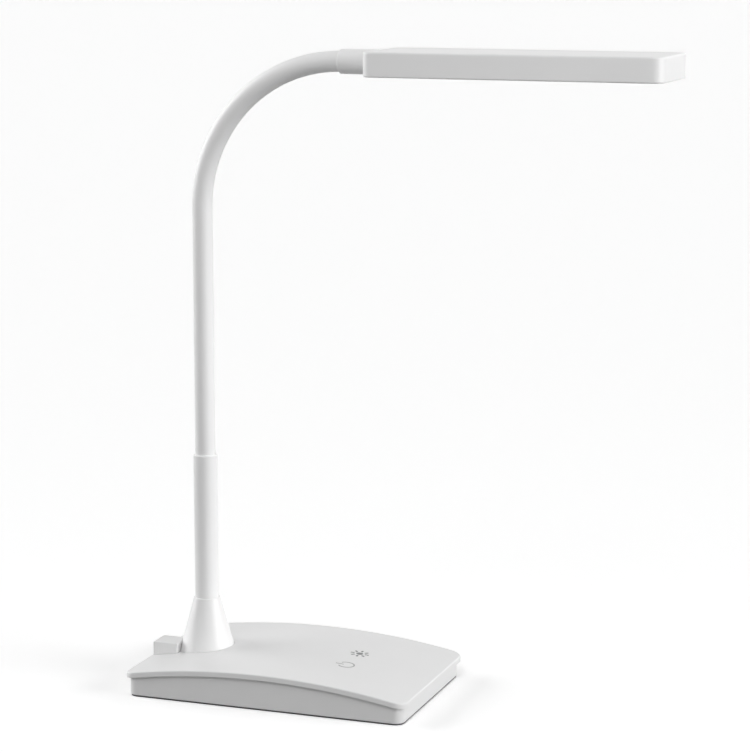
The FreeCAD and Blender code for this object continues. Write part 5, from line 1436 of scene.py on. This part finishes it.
@dataclass
class Studio:
    """White floor, soft lights and the camera."""

    camera_place: Vector = field(default_factory=lambda: Vector((530.1, -1335.8, 445.2)) * MM)
    camera_pitch: float = math.radians(90 - 10.235)
    camera_turn: float = math.radians(19.771)
    lens: float = 120.888
    sensor: float = 36.0
    clip_end: float = 60.0
    fill: float = 0.17
    floor_shown: float = 1.135
    floor_bounced: float = 0.20
    floor_glow: float = 0.15
    floor_half: float = 16.0
    floor_drop: float = 0.05 * MM
    lamps: tuple[Lamp, ...] = (
        Lamp("right_light", Vector((0.996, 0, 0.087)), 0.96, 50),
        Lamp("left_light", Vector((-0.982, 0, 0.191)), 0.86, 55),
        Lamp("high_light", Vector((0, -0.47, 0.883)), 0.108, 50),
        Lamp("front_light", Vector((0, -0.80, 0.60)), 0.105, 40),
        Lamp("rear_light", Vector((0.36, 0.79, 0.5)), 0.13, 55),
    )
    panels: tuple[Panel, ...] = (
        Panel("head_light", Vector((150, -420, 400)) * MM,
              Vector((137, -30, 368)) * MM, 300 * MM, 0.23),
        Panel("end_light", Vector((620, -30, 372)) * MM,
              Vector((222, -30, 368)) * MM, 200 * MM, 0.17),
    )

    def seen_mask(self, tree: bpy.types.NodeTree) -> bpy.types.NodeSocket:
        """Make a mask of what is seen, directly or in another surface.

        Args:
            tree: the tree that gets the nodes.

        Returns:
            A socket that is one for the camera and for mirrored or refracted rays.
        """
        path = tree.nodes.new("ShaderNodeLightPath")
        both = number_node(tree, "MAXIMUM", path.outputs["Is Camera Ray"],
                           path.outputs["Is Glossy Ray"])
        return number_node(tree, "MAXIMUM", both, path.outputs["Is Transmission Ray"])

    def make_world(self) -> None:
        """Light the scene evenly from all round, with a white backdrop."""
        world = bpy.data.worlds.new("white_room")
        world.use_nodes = True
        bpy.context.scene.world = world
        tree = world.node_tree
        shade = tree.nodes["Background"]
        shade.inputs["Color"].default_value = (*grey(1.0), 1.0)
        lift = number_node(tree, "MULTIPLY", self.seen_mask(tree), 1.0 - self.fill)
        tree.links.new(number_node(tree, "ADD", lift, self.fill), shade.inputs["Strength"])

    def floor_material(self) -> bpy.types.Material:
        """Build the floor's material, which is clear from underneath.

        Returns:
            The new material.
        """
        material = bpy.data.materials.new("white_floor")
        material.use_nodes = True
        tree = material.node_tree
        tree.nodes.remove(tree.nodes["Principled BSDF"])
        shown = tree.nodes.new("ShaderNodeBsdfDiffuse")
        shown.inputs["Color"].default_value = (*grey(self.floor_shown), 1.0)
        bounced = tree.nodes.new("ShaderNodeBsdfDiffuse")
        bounced.inputs["Color"].default_value = (*grey(self.floor_bounced), 1.0)
        glow = tree.nodes.new("ShaderNodeEmission")
        glow.inputs["Strength"].default_value = self.floor_glow
        bright = tree.nodes.new("ShaderNodeAddShader")
        tree.links.new(shown.outputs[0], bright.inputs[0])
        tree.links.new(glow.outputs[0], bright.inputs[1])
        upper = mix_shaders(tree, self.seen_mask(tree), bounced.outputs[0], bright.outputs[0])
        clear = tree.nodes.new("ShaderNodeBsdfTransparent")
        side = tree.nodes.new("ShaderNodeNewGeometry")
        whole = mix_shaders(tree, side.outputs["Backfacing"], upper, clear.outputs[0])
        tree.links.new(whole, tree.nodes["Material Output"].inputs["Surface"])
        return material

    def make_floor(self) -> None:
        """Build the floor, which shows white and keeps the lamp's soft shadow."""
        half = self.floor_half
        shape = bmesh.new()
        shape.faces.new([shape.verts.new((x * half, y * half, -self.floor_drop))
                         for x, y in ((-1, -1), (1, -1), (1, 1), (-1, 1))])
        floor = hand_over("floor", shape)
        floor.data.materials.append(self.floor_material())

    def make_camera(self) -> None:
        """Set up the camera."""
        data = bpy.data.cameras.new("camera")
        data.sensor_fit = "HORIZONTAL"
        data.sensor_width = self.sensor
        data.lens = self.lens
        data.clip_end = self.clip_end
        camera = bpy.data.objects.new("camera", data)
        camera.location = self.camera_place
        camera.rotation_euler = (self.camera_pitch, 0.0, self.camera_turn)
        bpy.context.scene.collection.objects.link(camera)
        bpy.context.scene.camera = camera

    def build(self) -> None:
        """Build the studio."""
        bpy.context.scene.view_settings.view_transform = "Standard"
        self.make_camera()
        self.make_world()
        self.make_floor()
        for lamp in (*self.lamps, *self.panels):
            lamp.build()


def main() -> None:
    """Build the studio and the dressed lamp round the frame."""
    logging.basicConfig(level=logging.INFO, format="%(name)s: %(message)s")
    for leftover in list(bpy.data.objects):
        bpy.data.objects.remove(leftover)
    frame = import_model()
    Studio().build()
    wardrobe = Wardrobe()
    wardrobe.dress_frame(frame["nodes"])
    for kind in (Base, Port, Post, Arm, Head):
        kind(wardrobe).build()
        LOG.info("%s is complete", kind.__name__)
    bpy.context.view_layer.update()


if __name__ == "__main__":
    main()
